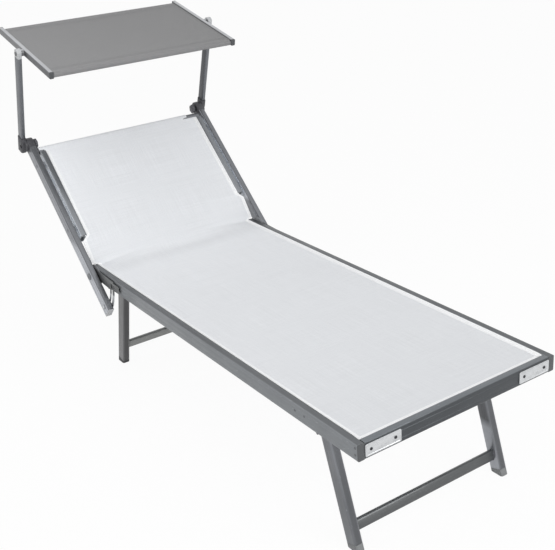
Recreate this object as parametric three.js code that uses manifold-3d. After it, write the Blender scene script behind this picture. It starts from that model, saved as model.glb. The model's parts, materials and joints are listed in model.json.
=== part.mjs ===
// Folding aluminium sun lounger with a reclining back and a tilting canopy.
// Millimetres. X is the width, +Y runs from the foot end to the head end, +Z is up.
// The model is centred on its box and stands on z = 0.
import * as THREE from 'three';
import { mergeVertices } from 'three/addons/utils/BufferGeometryUtils.js';
import Module from 'manifold-3d';

const wasm = await Module();
wasm.setup();
const { Manifold, Mesh: SolidMesh } = wasm;

// Seat frame
const SEAT_WIDTH = 640;
const SEAT_HEIGHT = 385;
const HINGE_Y = 1366;
const RAIL_TAIL = 32;
// Backrest, measured from its hinge
const BACK_LENGTH = 540;
const BACK_ANGLE = 43;
const BACK_MAX_ANGLE = 70;
const LEVER_LENGTH = 144;
const BACK_RAIL_START = 140;
const LOW_TUBE_AT = 190;
// Extruded rail, with a bead channel along its inner face
const RAIL_W = 20;
const RAIL_H = 44;
const RAIL_WALL = 1.6;
const RAIL_CORNER = 3;
const LINE_WIDTH = 1.6;
const LINE_DEPTH = 0.6;
const LINE_OFFSET = 10;
const CHANNEL_DROP = 6;
const CHANNEL_MOUTH = 2.6;
const CHANNEL_LIP = 1.4;
const CHANNEL_BORE = 5.8;
// Clearances and shared sizes
const FIT = 0.3;
const PIVOT_CLEAR = 0.3;
const SIDE_GAP = 7;
const OVERRUN = 5;
const CAP_PLATE = 2.5;
const CAP_PLUG = 12;
// Cross tubes
const TUBE_R = 10;
const TUBE_WALL = 1.5;
const MID_TUBE_Y = 760;
const TUBE_LIFT = 2;
const TOP_TUBE_R = 11;
// Fabric
const FABRIC = 1.4;
const BEAD_R = 2.3;
const POCKET_LEFT_INSET = 12;
const POCKET_RIGHT_INSET = 72;
// Corner plates on the front rail
const PLATE_LENGTH = 106;
const PLATE_HEIGHT = 33;
const PLATE_THICK = 1.5;
const PLATE_CORNER = 4;
const PLATE_RIM = 3;
const PLATE_DISH = 0.8;
const PLATE_SCREW_R = 4.2;
const PLATE_SCREW_H = 1.8;
const PLATE_SCREW_INSET = 17;
// Legs
const LEG_W = 25;
const LEG_D = 40;
const LEG_WALL = 1.5;
const LEG_CORNER = 6;
const LEG_INSET = 68;
const LEG_PIVOT_DROP = 33;
const FRONT_PIVOT_Y = 222;
const FRONT_SPLAY_ANGLE = 17.8;
const REAR_LEG_BACK = 58;
const REAR_SPLAY_ANGLE = 15.6;
const FRONT_BAR_Z = 54;
const REAR_BAR_Z = 68;
const CROSSBAR_W = 15;
const CROSSBAR_H = 30;
const FOOT_HEIGHT = 9;
const FOOT_PLUG = 22;
const LEG_PIN_R = 4;
const LEG_PIN_HEAD_R = 8;
const LEG_PIN_HEAD = 3.5;
// Moulded leg brackets
const BRACKET_LENGTH = 50;
const BRACKET_TOP = 6;
const BRACKET_BELOW = 12;
const BRACKET_PLATE = 6;
const BRACKET_BOSS_R = 16;
const BRACKET_CORNER = 8;
const STOP_TONGUE = 5;
const STOP_NEAR = 30;
const STOP_LENGTH = 18;
const STOP_REACH = 17;
// Hinge pins, with a round flange between the rail and the quadrant plate
const HINGE_PIN_R = 5;
const HINGE_FLANGE_R = 35;
const HINGE_FLANGE = 2.2;
const HINGE_HEAD_R = 11;
const HINGE_HEAD_H = 4.5;
const HINGE_NUT_R = 8;
// Quadrant plates and their clamping studs
const QUADRANT_THICK = 2;
const STUD_RADIUS = 118;
const STUD_R = 4;
const STUD_HEAD_R = 8.5;
const STUD_HEAD_H = 1.5;
const STUD_NUT_R = 8;
const STUD_NUT_H = 5;
const RIM_OUT = 134;
const WINDOW_IN = 42;
const WINDOW_OUT = 105;
const HUB_R = 15;
const NECK_R = 24;
const QUADRANT_TOP_ANGLE = 7;
const QUADRANT_RIB_ANGLE = 10;
const QUADRANT_END_ANGLE = 13;
const TAB_REACH = 172;
const TAB_HALF = 11;
const TAB_RIVET_AT = 160;
const TAB_RIVET_R = 5;
const TAB_RIVET_H = 1.6;
// Heads at the top of the bars, with the canopy arms' pivots and the top tube's sockets
const HEAD_R = 23;
const HEAD_SIDE = 1.5;
const HEAD_PLUG = 24;
const HEAD_PLATE = 2.5;
const HEAD_BOLT_R = 4;
const HEAD_CAP_R = 6.5;
const HEAD_CAP_H = 3;
const TUBE_SOCKET = 1.8;
const TUBE_SOCKET_DEPTH = 7;
const HUB_DISC_R = 22;
const HUB_DISC_H = 7;
const KNOB_R = 15.5;
const KNOB_CLEAR = 7;
const KNOB_LOBE_R = 4.5;
const KNOB_LOBES = 6;
const KNOB_H = 14;
const KNOB_NECK_R = 8.5;
const KNOB_NECK_H = 5;
const KNOB_CAP_R = 6.5;
const KNOB_CAP_H = 1.2;
// Canopy arms
const ARM_W = 15;
const ARM_D = 30;
const ARM_WALL = 1.4;
const ARM_CORNER = 4;
const ARM_LENGTH = 345;
const ARM_LEAN_ANGLE = 19.2;
const ARM_OFFSET = 10;
const TIP_PLUG = 20;
const SOCKET_WALL = 2.2;
const SOCKET_BELOW = 24;
const SOCKET_FLOOR = 9;
const SOCKET_ABOVE = 30;
// Canopy
const CANOPY_DEPTH = 413;
const CANOPY_TILT_ANGLE = 14;
const CANOPY_GAP = 10;
const CANOPY_RAIL_W = 15;
const CANOPY_RAIL_H = 22;
const CANOPY_WALL = 1.4;
const CANOPY_CORNER = 3;
const CANOPY_CAP = 4;
const CANOPY_ROD_R = 8;
const CANOPY_ROD_INSET = 12;
const CANOPY_FABRIC = 1.2;
const CANOPY_CHANNEL_DROP = 4.6;
const CANOPY_MOUTH = 2.4;
const CANOPY_LIP = 1.3;
const CANOPY_BORE = 5;
const CANOPY_BEAD_R = 1.9;
const CANOPY_BOSS_R = 11;
const CANOPY_PIN_R = 4;
const CANOPY_HEAD_R = 7;
const CANOPY_HEAD_H = 3;
// Counts and shares
const CIRCLE_STEPS = 20;
const SMALL_STEPS = 12;
const CORNER_STEPS = 3;
const ARC_STEPS = 20;
const BEAD_STEPS = 8;
const domeShares = [[1, 0], [0.92, 0.5], [0.6, 0.9], [0, 1]];
const capSideShare = 0.72;
const tieShares = [0.12, 0.88];

// Derived places
const HALF = SEAT_WIDTH / 2;
const RAIL_IN = HALF - RAIL_W;
const RAIL_MID = HALF - RAIL_W / 2;
const BAR_IN = HALF + SIDE_GAP;
const BAR_OUT = BAR_IN + RAIL_W;
const BAR_MID = BAR_IN + RAIL_W / 2;
const RAIL_Z = SEAT_HEIGHT - RAIL_H / 2;
const REAR_PIVOT_Y = HINGE_Y - REAR_LEG_BACK;
const REAR_TUBE_Y = (REAR_PIVOT_Y + BRACKET_LENGTH / 2 + HINGE_Y - HINGE_NUT_R) / 2;
const SOCKET_R = TOP_TUBE_R + FIT + TUBE_SOCKET;
const TOP_TUBE_AT = BACK_LENGTH - KNOB_R - SOCKET_R - KNOB_CLEAR;
const CHANNEL_Z = RAIL_H / 2 - CHANNEL_DROP;
const BACK_RAIL_END = TOP_TUBE_AT - TOP_TUBE_R - FABRIC - FIT * 3;
const TOP_TUBE_W = CHANNEL_Z + FABRIC / 2 - (TOP_TUBE_R + FIT + FABRIC);
const LEG_X = HALF - LEG_INSET;
const LEG_OUT = LEG_X + LEG_W / 2;
const LEG_INNER = LEG_X - LEG_W / 2;
const LEG_PIVOT_Z = SEAT_HEIGHT - LEG_PIVOT_DROP;
const PLATE_IN = HALF + FIT + HINGE_FLANGE + FIT;
const PLATE_OUT = PLATE_IN + QUADRANT_THICK;
const HEAD_OUT = BAR_OUT + HEAD_SIDE;
const HEAD_IN = BAR_IN - FIT - HEAD_PLATE;
const HUB_IN = HEAD_OUT + FIT;
const ARM_IN = HUB_IN + SOCKET_WALL;
const ARM_OUT = ARM_IN + ARM_W;
const CANOPY_HALF = ARM_IN - CANOPY_GAP - CANOPY_RAIL_W / 2;

// Colours and finishes
const finishes = {
  aluminium: [0x8d9094, 0.42, 0.85],
  bright: [0xd7dadb, 0.3, 0.8],
  black: [0x1d1e20, 0.55, 0],
  darkcap: [0x3b3d40, 0.6, 0],
  white: [0xe1e6ec, 0.85, 0],
  light: [0xb6b9bb, 0.5, 0],
  grey: [0x8c8c8c, 0.9, 0],
  steel: [0xb9bcc0, 0.3, 1],
};

function material(kind) {
  const [color, roughness, metalness] = finishes[kind];
  return new THREE.MeshStandardMaterial({ color, roughness, metalness });
}

// Solids from three.js geometry and back
function stripped(geometry) {
  const plain = geometry.clone();
  plain.deleteAttribute('normal');
  plain.deleteAttribute('uv');
  return plain;
}

function solid(geometry) {
  const welded = mergeVertices(stripped(geometry));
  return new Manifold(new SolidMesh({
    numProp: 3,
    vertProperties: new Float32Array(welded.attributes.position.array),
    triVerts: new Uint32Array(welded.index.array),
  }));
}

function geometryOf(body) {
  const mesh = body.getMesh();
  const geometry = new THREE.BufferGeometry();
  geometry.setAttribute('position', new THREE.BufferAttribute(new Float32Array(mesh.vertProperties), 3));
  geometry.setIndex(new THREE.BufferAttribute(new Uint32Array(mesh.triVerts), 1));
  return geometry;
}

function turnFaces(order) {
  for (let i = 0; i < order.length; i += 3) [order[i + 1], order[i + 2]] = [order[i + 2], order[i + 1]];
}

// Turns a geometry into its mirror image across x = 0, still facing out
function mirrorX(geometry) {
  const copy = geometry.clone();
  copy.scale(-1, 1, 1);
  turnFaces(copy.index.array);
  return copy;
}

// Outlines are lists of [a, b]
function ring(r, steps, a = 0, b = 0, turn = 0) {
  return Array.from({ length: steps }, (_, i) => {
    const t = turn + (2 * Math.PI * i) / steps;
    return [a + r * Math.cos(t), b + r * Math.sin(t)];
  });
}

function arc(r, from, to, steps, a = 0, b = 0) {
  return Array.from({ length: steps + 1 }, (_, i) => {
    const t = from + ((to - from) * i) / steps;
    return [a + r * Math.cos(t), b + r * Math.sin(t)];
  });
}

function roundedBox(w, h, r, steps = CORNER_STEPS) {
  const corners = [[1, 1], [-1, 1], [-1, -1], [1, -1]];
  return corners.flatMap(([sa, sb], i) =>
    arc(r, (i * Math.PI) / 2, ((i + 1) * Math.PI) / 2, steps, sa * (w / 2 - r), sb * (h / 2 - r)));
}

function shapeOf(outline, holes = []) {
  const vectors = (list) => list.map(([a, b]) => new THREE.Vector2(a, b));
  const shape = new THREE.Shape(vectors(outline));
  holes.forEach((hole) => shape.holes.push(new THREE.Path(vectors(hole))));
  return shape;
}

function extruded(outline, holes, length) {
  const sweep = { depth: length, bevelEnabled: false, steps: 1 };
  return new THREE.ExtrudeGeometry(shapeOf(outline, holes), sweep);
}

// Outline in (x, z), swept from y0 to y1
function alongY(outline, y0, y1, holes = []) {
  return extruded(outline, holes, y1 - y0).rotateX(Math.PI / 2).translate(0, y1, 0);
}

// Outline in (y, z), swept from x0 to x1
function alongX(outline, x0, x1, holes = []) {
  const turn = new THREE.Matrix4().makeBasis(
    new THREE.Vector3(0, 1, 0), new THREE.Vector3(0, 0, 1), new THREE.Vector3(1, 0, 0));
  return extruded(outline, holes, x1 - x0).applyMatrix4(turn).translate(x0, 0, 0);
}

// Outline in (x, y), swept from z0 to z1
function alongZ(outline, z0, z1, holes = []) {
  return extruded(outline, holes, z1 - z0).translate(0, 0, z0);
}

// Turned piece about the X axis from a list of [radius, x], through (y, z)
function turned(profile, y = 0, z = 0, steps = CIRCLE_STEPS) {
  const points = profile.map(([r, x]) => new THREE.Vector2(r, x));
  return new THREE.LatheGeometry(points, steps).rotateZ(-Math.PI / 2).translate(0, y, z);
}

function drill(r, x0, x1, y, z, steps = SMALL_STEPS) {
  return solid(alongX(ring(r, steps, y, z), x0, x1));
}

function dome(r, x, height) {
  return domeShares.map(([outShare, upShare]) => [r * outShare, x + height * upShare]);
}

function join(first, ...rest) {
  return rest.reduce((sum, next) => sum.add(next), first);
}

function cut(first, ...rest) {
  return rest.reduce((left, next) => left.subtract(next), first);
}

// Frames of the moving assemblies, in the rest pose
const deg = THREE.MathUtils.degToRad;
const hingeFrame = new THREE.Matrix4().makeTranslation(0, HINGE_Y, RAIL_Z);
const backFrame = hingeFrame.clone().multiply(new THREE.Matrix4().makeRotationX(deg(BACK_ANGLE)));
const armPivot = new THREE.Vector3(0, BACK_LENGTH, 0).applyMatrix4(backFrame);
const armFrame = new THREE.Matrix4().makeTranslation(0, armPivot.y, armPivot.z)
  .multiply(new THREE.Matrix4().makeRotationX(deg(ARM_LEAN_ANGLE)));
const canopyPivot = new THREE.Vector3(0, ARM_OFFSET, ARM_LENGTH).applyMatrix4(armFrame);
const canopyFrame = new THREE.Matrix4().makeTranslation(0, canopyPivot.y, canopyPivot.z)
  .multiply(new THREE.Matrix4().makeRotationX(deg(CANOPY_TILT_ANGLE)));
const legPivots = {
  front: new THREE.Matrix4().makeTranslation(0, FRONT_PIVOT_Y, LEG_PIVOT_Z),
  rear: new THREE.Matrix4().makeTranslation(0, REAR_PIVOT_Y, LEG_PIVOT_Z),
};

// Half outline of a bead channel in a face at a = 0, opening towards -a, about b = 0
function channelNotch(mouth, lip, bore) {
  const m = mouth / 2;
  const r = bore / 2;
  const reach = Math.acos(m / r);
  const open = Math.PI / 2 + reach;
  const centre = lip + Math.sqrt(r * r - m * m);
  const bend = arc(r, -open, open, BEAD_STEPS, centre, 0);
  return [[0, -m], ...bend, [0, m]];
}

const beadCentre = (mouth, lip, bore) =>
  lip + Math.sqrt((bore * bore) / 4 - (mouth * mouth) / 4);

// Extruded sections: size, corner, wall and, where there is one, the bead channel and its height
const seatSection = {
  w: RAIL_W, h: RAIL_H, corner: RAIL_CORNER, wall: RAIL_WALL,
  channel: { mouth: CHANNEL_MOUTH, lip: CHANNEL_LIP, bore: CHANNEL_BORE, z: CHANNEL_Z },
};
const barSection = { ...seatSection, channel: null };
const canopyChannelZ = CANOPY_RAIL_H / 2 - CANOPY_CHANNEL_DROP;
const canopySection = {
  w: CANOPY_RAIL_W, h: CANOPY_RAIL_H, corner: CANOPY_CORNER, wall: CANOPY_WALL,
  channel: { mouth: CANOPY_MOUTH, lip: CANOPY_LIP, bore: CANOPY_BORE, z: canopyChannelZ },
};
const moved = (outline, a, b) => outline.map(([p, q]) => [p + a, q + b]);
const flipped = (outline) => outline.map(([p, q]) => [-p, q]).reverse();

// Outer outline of a section, with two fine lines in its outer face and its channel in the inner one
function railOutline({ w, h, corner, channel }) {
  const line = (b) => [[w / 2, b - LINE_WIDTH / 2], [w / 2 - LINE_DEPTH, b], [w / 2, b + LINE_WIDTH / 2]];
  const quarter = (i, a, b) => arc(corner, (i * Math.PI) / 2, ((i + 1) * Math.PI) / 2, CORNER_STEPS, a, b);
  const lines = h > 2 * (LINE_OFFSET + corner) ? [...line(-LINE_OFFSET), ...line(LINE_OFFSET)] : [];
  const groove = channel ? channelNotch(channel.mouth, channel.lip, channel.bore) : [];
  const notch = channel ? moved(groove, -w / 2, channel.z).reverse() : [];
  return [
    ...quarter(3, w / 2 - corner, corner - h / 2), ...lines,
    ...quarter(0, w / 2 - corner, h / 2 - corner),
    ...quarter(1, corner - w / 2, h / 2 - corner), ...notch,
    ...quarter(2, corner - w / 2, corner - h / 2),
  ];
}

// Half sizes and middle of the closed chamber in a section, below its channel if it has one
function chamberBox({ w, h, wall, channel }) {
  const top = channel ? channel.z - channel.bore / 2 - wall : h / 2 - wall;
  const tall = top + h / 2 - wall;
  return { w: w - 2 * wall, h: tall, z: top - tall / 2 };
}

function chamber(section) {
  const room = chamberBox(section);
  return moved(roundedBox(room.w, room.h, section.wall, 1), 0, room.z);
}

// Plate and plug that close an end: the plate fills y0 to y1 and the plug reaches back to y2
function endCap(section, x, z, y0, y1, y2) {
  const room = chamberBox(section);
  const span = (a, b) => [Math.min(a, b), Math.max(a, b)];
  const outline = moved(roundedBox(section.w, section.h, section.corner), x, z);
  const plate = solid(alongY(outline, ...span(y0, y1)));
  const plug = roundedBox(room.w - 2 * FIT, room.h - 2 * FIT, section.wall, 1);
  return plate.add(solid(alongY(moved(plug, x, z + room.z), ...span(y1, y2))));
}

// Seat rail on the right, with its bore for the hinge bolt
function seatRail() {
  const end = HINGE_Y + RAIL_TAIL;
  const place = (outline) => moved(outline, RAIL_MID, RAIL_Z);
  const hollow = place(chamber(seatSection));
  const body = solid(alongY(place(railOutline(seatSection)), CAP_PLATE, end - CAP_PLATE, [hollow]));
  return cut(body, drill(HINGE_PIN_R + FIT, RAIL_IN - OVERRUN, HALF + OVERRUN, HINGE_Y, RAIL_Z));
}

function seatRailCap(front) {
  const end = HINGE_Y + RAIL_TAIL;
  const rearPlug = Math.min(CAP_PLUG, (RAIL_TAIL - HINGE_PIN_R) / 2);
  return front
    ? endCap(seatSection, RAIL_MID, RAIL_Z, CAP_PLATE, 0, CAP_PLATE + CAP_PLUG)
    : endCap(seatSection, RAIL_MID, RAIL_Z, end - CAP_PLATE, end, end - CAP_PLATE - rearPlug);
}

// Front rail between the side rails, its channel facing the head end
function frontRail() {
  const outline = moved(flipped(railOutline(seatSection)), RAIL_W / 2, RAIL_Z);
  const hollow = moved(flipped(chamber(seatSection)), RAIL_W / 2, RAIL_Z);
  return solid(alongX(outline, FIT - RAIL_IN, RAIL_IN - FIT, [hollow]));
}

// Bright plate on the front rail beside the right side rail: a dished face with two screws
function cornerPlate() {
  const outline = roundedBox(PLATE_LENGTH, PLATE_HEIGHT, PLATE_CORNER);
  const inset = 2 * PLATE_RIM;
  const dish = roundedBox(PLATE_LENGTH - inset, PLATE_HEIGHT - inset, PLATE_CORNER - PLATE_DISH);
  const shift = [RAIL_IN - PLATE_LENGTH / 2 - FIT, RAIL_Z];
  const front = -FIT - PLATE_THICK;
  const plate = solid(alongY(moved(outline, ...shift), front, -FIT));
  const hollow = solid(alongY(moved(dish, ...shift), front - OVERRUN, front + PLATE_DISH));
  const screws = [-1, 1].map((side) => {
    const sunk = -PLATE_DISH / 2;
    const profile = [[0, sunk], [PLATE_SCREW_R, sunk], ...dome(PLATE_SCREW_R, 0, PLATE_SCREW_H)];
    const head = new THREE.LatheGeometry(profile.map(([r, t]) => new THREE.Vector2(r, t)), SMALL_STEPS);
    const x = shift[0] + side * (PLATE_LENGTH / 2 - PLATE_SCREW_INSET);
    return solid(head.rotateX(Math.PI).translate(x, front + PLATE_DISH, RAIL_Z));
  });
  return join(cut(plate, hollow), ...screws);
}

function crossTube(y) {
  const z = SEAT_HEIGHT - RAIL_H + TUBE_R + TUBE_LIFT;
  const ends = RAIL_IN - FIT;
  const hollow = ring(TUBE_R - TUBE_WALL, CIRCLE_STEPS, y, z);
  return alongX(ring(TUBE_R, CIRCLE_STEPS, y, z), -ends, ends, [hollow]);
}

// Section of a fabric panel between two rails whose channel mouths face each other
function panelSection(faces, thick, beadR, reach, z) {
  const t = thick / 2;
  const bead = faces + reach;
  const open = Math.asin(t / beadR);
  const right = arc(beadR, -Math.PI + open, Math.PI - open, BEAD_STEPS, bead, z);
  const left = arc(beadR, open, 2 * Math.PI - open, BEAD_STEPS, -bead, z);
  return [...right, ...left];
}

const seatBead = beadCentre(CHANNEL_MOUTH, CHANNEL_LIP, CHANNEL_BORE);
const canopyBead = beadCentre(CANOPY_MOUTH, CANOPY_LIP, CANOPY_BORE);

// Seat panel: side beads in the side rails, front bead in the front rail
function seatFabric() {
  const z = RAIL_Z + CHANNEL_Z;
  const section = panelSection(RAIL_IN, FABRIC, BEAD_R, seatBead, z);
  const front = RAIL_W + FIT;
  const panel = solid(alongY(section, front, HINGE_Y + RAIL_TAIL - CAP_PLATE - FIT));
  const y = RAIL_W - seatBead;
  const hem = solid(alongX(ring(BEAD_R, BEAD_STEPS, y, z), -RAIL_IN + OVERRUN, RAIL_IN - OVERRUN));
  const edge = RAIL_IN - OVERRUN;
  const tongue = solid(alongZ([[-edge, y], [edge, y], [edge, front + OVERRUN], [-edge, front + OVERRUN]],
    z - FABRIC / 2, z + FABRIC / 2));
  return join(panel, tongue, hem);
}

// Quadrant plate beside the right seat rail, drawn from the hinge in (y, z)
function quadrant() {
  const point = (r, angle) => [-r * Math.cos(deg(angle)), -r * Math.sin(deg(angle))];
  const sweep = (r, from, to) =>
    Array.from({ length: ARC_STEPS + 1 }, (_, i) => point(r, from + ((to - from) * i) / ARC_STEPS));
  const last = BACK_MAX_ANGLE + QUADRANT_END_ANGLE / 2;
  const first = -QUADRANT_TOP_ANGLE;
  const half = STUD_R + PIVOT_CLEAR;
  const spare = THREE.MathUtils.radToDeg(half / STUD_RADIUS);
  const neck = sweep(NECK_R, last + BACK_MAX_ANGLE, 360 - BACK_MAX_ANGLE);
  const outline = [...sweep(RIM_OUT, first, last), ...neck];
  const windowTop = QUADRANT_RIB_ANGLE;
  const window = [...sweep(WINDOW_OUT, windowTop, last - QUADRANT_END_ANGLE),
    ...sweep(WINDOW_IN, last - 2 * QUADRANT_END_ANGLE, windowTop + QUADRANT_RIB_ANGLE)];
  const slot = [...sweep(STUD_RADIUS + half, -spare, BACK_MAX_ANGLE + spare),
    ...sweep(STUD_RADIUS - half, BACK_MAX_ANGLE + spare, -spare)];
  const sheet = (shape, x0, x1) => solid(outward(alongX(shape, x0, x1)));
  const opening = (shape) => sheet(shape, PLATE_IN - OVERRUN, PLATE_OUT + OVERRUN);
  const plate = cut(sheet(outline, PLATE_IN, PLATE_OUT), opening(window), opening(slot));
  const reach = roundedBox(TAB_REACH - RIM_OUT + 2 * OVERRUN, TAB_HALF * 2, TAB_HALF / 2);
  const tab = sheet(moved(reach, OVERRUN - (TAB_REACH + RIM_OUT) / 2, 0), PLATE_IN, PLATE_OUT);
  const hub = solid(alongX(ring(HUB_R, CIRCLE_STEPS), PLATE_IN, BAR_IN - FIT));
  const base = TAB_RIVET_R * 2 * capSideShare;
  const middle = PLATE_IN + QUADRANT_THICK / 2;
  const rivet = solid(turned([[0, HALF + FIT], [base, HALF + FIT], [base, middle], [TAB_RIVET_R, middle],
    ...dome(TAB_RIVET_R, PLATE_OUT, TAB_RIVET_H)], -TAB_RIVET_AT, 0, SMALL_STEPS));
  const bore = drill(HINGE_PIN_R + PIVOT_CLEAR, HALF - OVERRUN, BAR_OUT, 0, 0);
  return cut(join(plate, tab, hub, rivet), bore).transform(hingeFrame.elements);
}

// Pin that carries the backrest on the right seat rail
function hingePin() {
  const nut = RAIL_IN - FIT;
  const head = BAR_OUT + FIT;
  return turned([
    [0, nut - HINGE_HEAD_H], [HINGE_NUT_R, nut - HINGE_HEAD_H], [HINGE_NUT_R, nut], [HINGE_PIN_R, nut],
    [HINGE_PIN_R, HALF + FIT], [HINGE_FLANGE_R, HALF + FIT], [HINGE_FLANGE_R, HALF + FIT + HINGE_FLANGE],
    [HINGE_PIN_R, HALF + FIT + HINGE_FLANGE], [HINGE_PIN_R, head], [HINGE_HEAD_R, head],
    ...dome(HINGE_HEAD_R, head + HINGE_HEAD_H / 2, HINGE_HEAD_H / 2),
  ], HINGE_Y, RAIL_Z);
}

// Moulded bracket that carries a leg on the right seat rail; way is -1 where the leg splays to the foot end
function legBracket(pivot, way, splay) {
  const low = SEAT_HEIGHT - RAIL_H - BRACKET_BELOW - LEG_PIVOT_Z;
  const high = SEAT_HEIGHT - BRACKET_TOP - CHANNEL_DROP - LEG_PIVOT_Z;
  const plate = moved(roundedBox(BRACKET_LENGTH, high - low, BRACKET_CORNER), 0, (high + low) / 2);
  const web = solid(alongX(plate, RAIL_IN - FIT - BRACKET_PLATE, RAIL_IN - FIT));
  const root = RAIL_IN - FIT - BRACKET_PLATE / 2;
  const boss = solid(alongX(ring(BRACKET_BOSS_R, CIRCLE_STEPS), LEG_OUT + PIVOT_CLEAR, root));
  const lean = new THREE.Matrix4().makeRotationX(deg(way * splay));
  const face = way * (LEG_D / 2 + FIT);
  const tongue = (x0, x1) => alongX([
    [face, -STOP_NEAR], [face, -STOP_NEAR - STOP_LENGTH],
    [face + way * STOP_TONGUE, -STOP_NEAR - STOP_LENGTH], [face + way * STOP_TONGUE, -STOP_NEAR],
  ], x0, x1);
  const rib = alongX([
    [face, -STOP_NEAR - STOP_LENGTH], [face + way * STOP_TONGUE, -STOP_NEAR - STOP_LENGTH],
    [face + way * STOP_TONGUE, 0], [way * BRACKET_BOSS_R * capSideShare, BRACKET_BOSS_R * capSideShare / 2],
    [way * BRACKET_BOSS_R * capSideShare / 2, -BRACKET_BOSS_R * capSideShare],
  ], LEG_OUT + PIVOT_CLEAR, root);
  const stop = solid(outward(tongue(LEG_OUT - STOP_REACH, root)).applyMatrix4(lean));
  const arm = solid(outward(rib).applyMatrix4(lean));
  const head = LEG_INNER - PIVOT_CLEAR;
  const pin = solid(turned([
    ...dome(LEG_PIN_HEAD_R, 0, LEG_PIN_HEAD).map(([r, x]) => [r, head - x]).reverse(),
    [LEG_PIN_R, head], [LEG_PIN_R, LEG_OUT + OVERRUN], [0, LEG_OUT + OVERRUN],
  ], 0, 0, SMALL_STEPS));
  return join(web, boss, arm, stop, pin).transform(pivot.elements);
}

// Reverses a geometry's faces when they point inwards
function outward(geometry) {
  const welded = mergeVertices(stripped(geometry));
  const p = welded.attributes.position;
  const order = welded.index.array;
  const [a, b, c] = [new THREE.Vector3(), new THREE.Vector3(), new THREE.Vector3()];
  let volume = 0;
  for (let i = 0; i < order.length; i += 3) {
    a.fromBufferAttribute(p, order[i]);
    b.fromBufferAttribute(p, order[i + 1]);
    c.fromBufferAttribute(p, order[i + 2]);
    volume += a.dot(b.cross(c));
  }
  if (volume < 0) turnFaces(order);
  return welded;
}

// A leg tube on the right: rounded at its pivot, open below, leaning by its splay
function legPlace(pivot, way, splay) {
  return pivot.clone().multiply(new THREE.Matrix4().makeRotationX(deg(way * splay)));
}

function legLength(splay) {
  return LEG_PIVOT_Z / Math.cos(deg(splay)) - (LEG_D / 2) * Math.tan(deg(splay)) - FOOT_HEIGHT;
}

function leg(pivot, way, splay) {
  const bottom = -legLength(splay);
  const outer = roundedBox(LEG_W, LEG_D, LEG_CORNER);
  const inner = roundedBox(LEG_W - 2 * LEG_WALL, LEG_D - 2 * LEG_WALL, LEG_CORNER - LEG_WALL);
  const stem = solid(alongZ(moved(outer, LEG_X, 0), bottom, LEG_D / 2));
  const hollow = solid(alongZ(moved(inner, LEG_X, 0), bottom - OVERRUN, -LEG_D / 2));
  const low = bottom - OVERRUN;
  const round = solid(alongX([...arc(LEG_D / 2, 0, Math.PI, CIRCLE_STEPS / 2), [-LEG_D / 2, low],
    [LEG_D / 2, low]], LEG_INNER - OVERRUN, LEG_OUT + OVERRUN));
  const bore = drill(LEG_PIN_R + PIVOT_CLEAR, LEG_INNER - OVERRUN, LEG_OUT + OVERRUN, 0, 0);
  return cut(stem.intersect(round), hollow, bore).transform(legPlace(pivot, way, splay).elements);
}

// Plastic foot plugged into the leg, cut level with the floor
function foot(pivot, way, splay) {
  const bottom = -legLength(splay);
  const reach = FOOT_HEIGHT * 3;
  const outer = moved(roundedBox(LEG_W, LEG_D, LEG_CORNER), LEG_X, 0);
  const pad = solid(alongZ(outer, bottom - reach, bottom - FIT));
  const inset = LEG_WALL + FIT;
  const shank = roundedBox(LEG_W - 2 * inset, LEG_D - 2 * inset, LEG_CORNER - inset);
  const plug = solid(alongZ(moved(shank, LEG_X, 0), bottom - FOOT_HEIGHT / 2, bottom + FOOT_PLUG));
  const placed = join(pad, plug).transform(legPlace(pivot, way, splay).elements);
  const side = LEG_D * 3;
  const at = new THREE.Vector3(0, 0, bottom).applyMatrix4(legPlace(pivot, way, splay));
  const ground = [[LEG_X - side, at.y - side], [LEG_X + side, at.y - side], [LEG_X + side, at.y + side],
    [LEG_X - side, at.y + side]];
  return cut(placed, solid(alongZ(ground, -side, 0)));
}

// Flat-oval bar between the two legs of a frame
function crossbar(pivot, way, splay, height) {
  const down = -(LEG_PIVOT_Z - height) / Math.cos(deg(splay));
  const outer = moved(roundedBox(CROSSBAR_W, CROSSBAR_H, LEG_CORNER), 0, down);
  const [w, h] = [CROSSBAR_W - 2 * LEG_WALL, CROSSBAR_H - 2 * LEG_WALL];
  const inner = moved(roundedBox(w, h, LEG_CORNER - LEG_WALL), 0, down);
  const ends = LEG_INNER - FIT;
  return solid(alongX(outer, -ends, ends, [inner])).transform(legPlace(pivot, way, splay).elements);
}

// Outer bar of the backrest on the right, from the lever's end to the head, drawn along y from the hinge
function backBar() {
  const outline = moved(railOutline(barSection), BAR_MID, 0);
  const hollow = moved(chamber(barSection), BAR_MID, 0);
  const bar = solid(alongY(outline, CAP_PLATE - LEVER_LENGTH, BACK_LENGTH - HEAD_R, [hollow]));
  const domes = tieShares.map((share) => {
    const y = BACK_RAIL_START + (BACK_RAIL_END - BACK_RAIL_START) * share;
    return solid(turned([[0, BAR_OUT - RAIL_WALL / 2], [TAB_RIVET_R, BAR_OUT - RAIL_WALL / 2],
      ...dome(TAB_RIVET_R, BAR_OUT, TAB_RIVET_H)], y, 0, SMALL_STEPS));
  });
  return cut(join(bar, ...domes),
    drill(HINGE_PIN_R + PIVOT_CLEAR, BAR_IN - OVERRUN, BAR_OUT + OVERRUN, 0, 0),
    drill(STUD_R + FIT, BAR_IN - OVERRUN, BAR_OUT + OVERRUN, -STUD_RADIUS, 0))
    .transform(backFrame.elements);
}

function backBarCap() {
  const plug = Math.min(CAP_PLUG, (LEVER_LENGTH - STUD_RADIUS - STUD_R) / 2);
  const face = CAP_PLATE - LEVER_LENGTH;
  return endCap(barSection, BAR_MID, 0, face, -LEVER_LENGTH, face + plug).transform(backFrame.elements);
}

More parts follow.
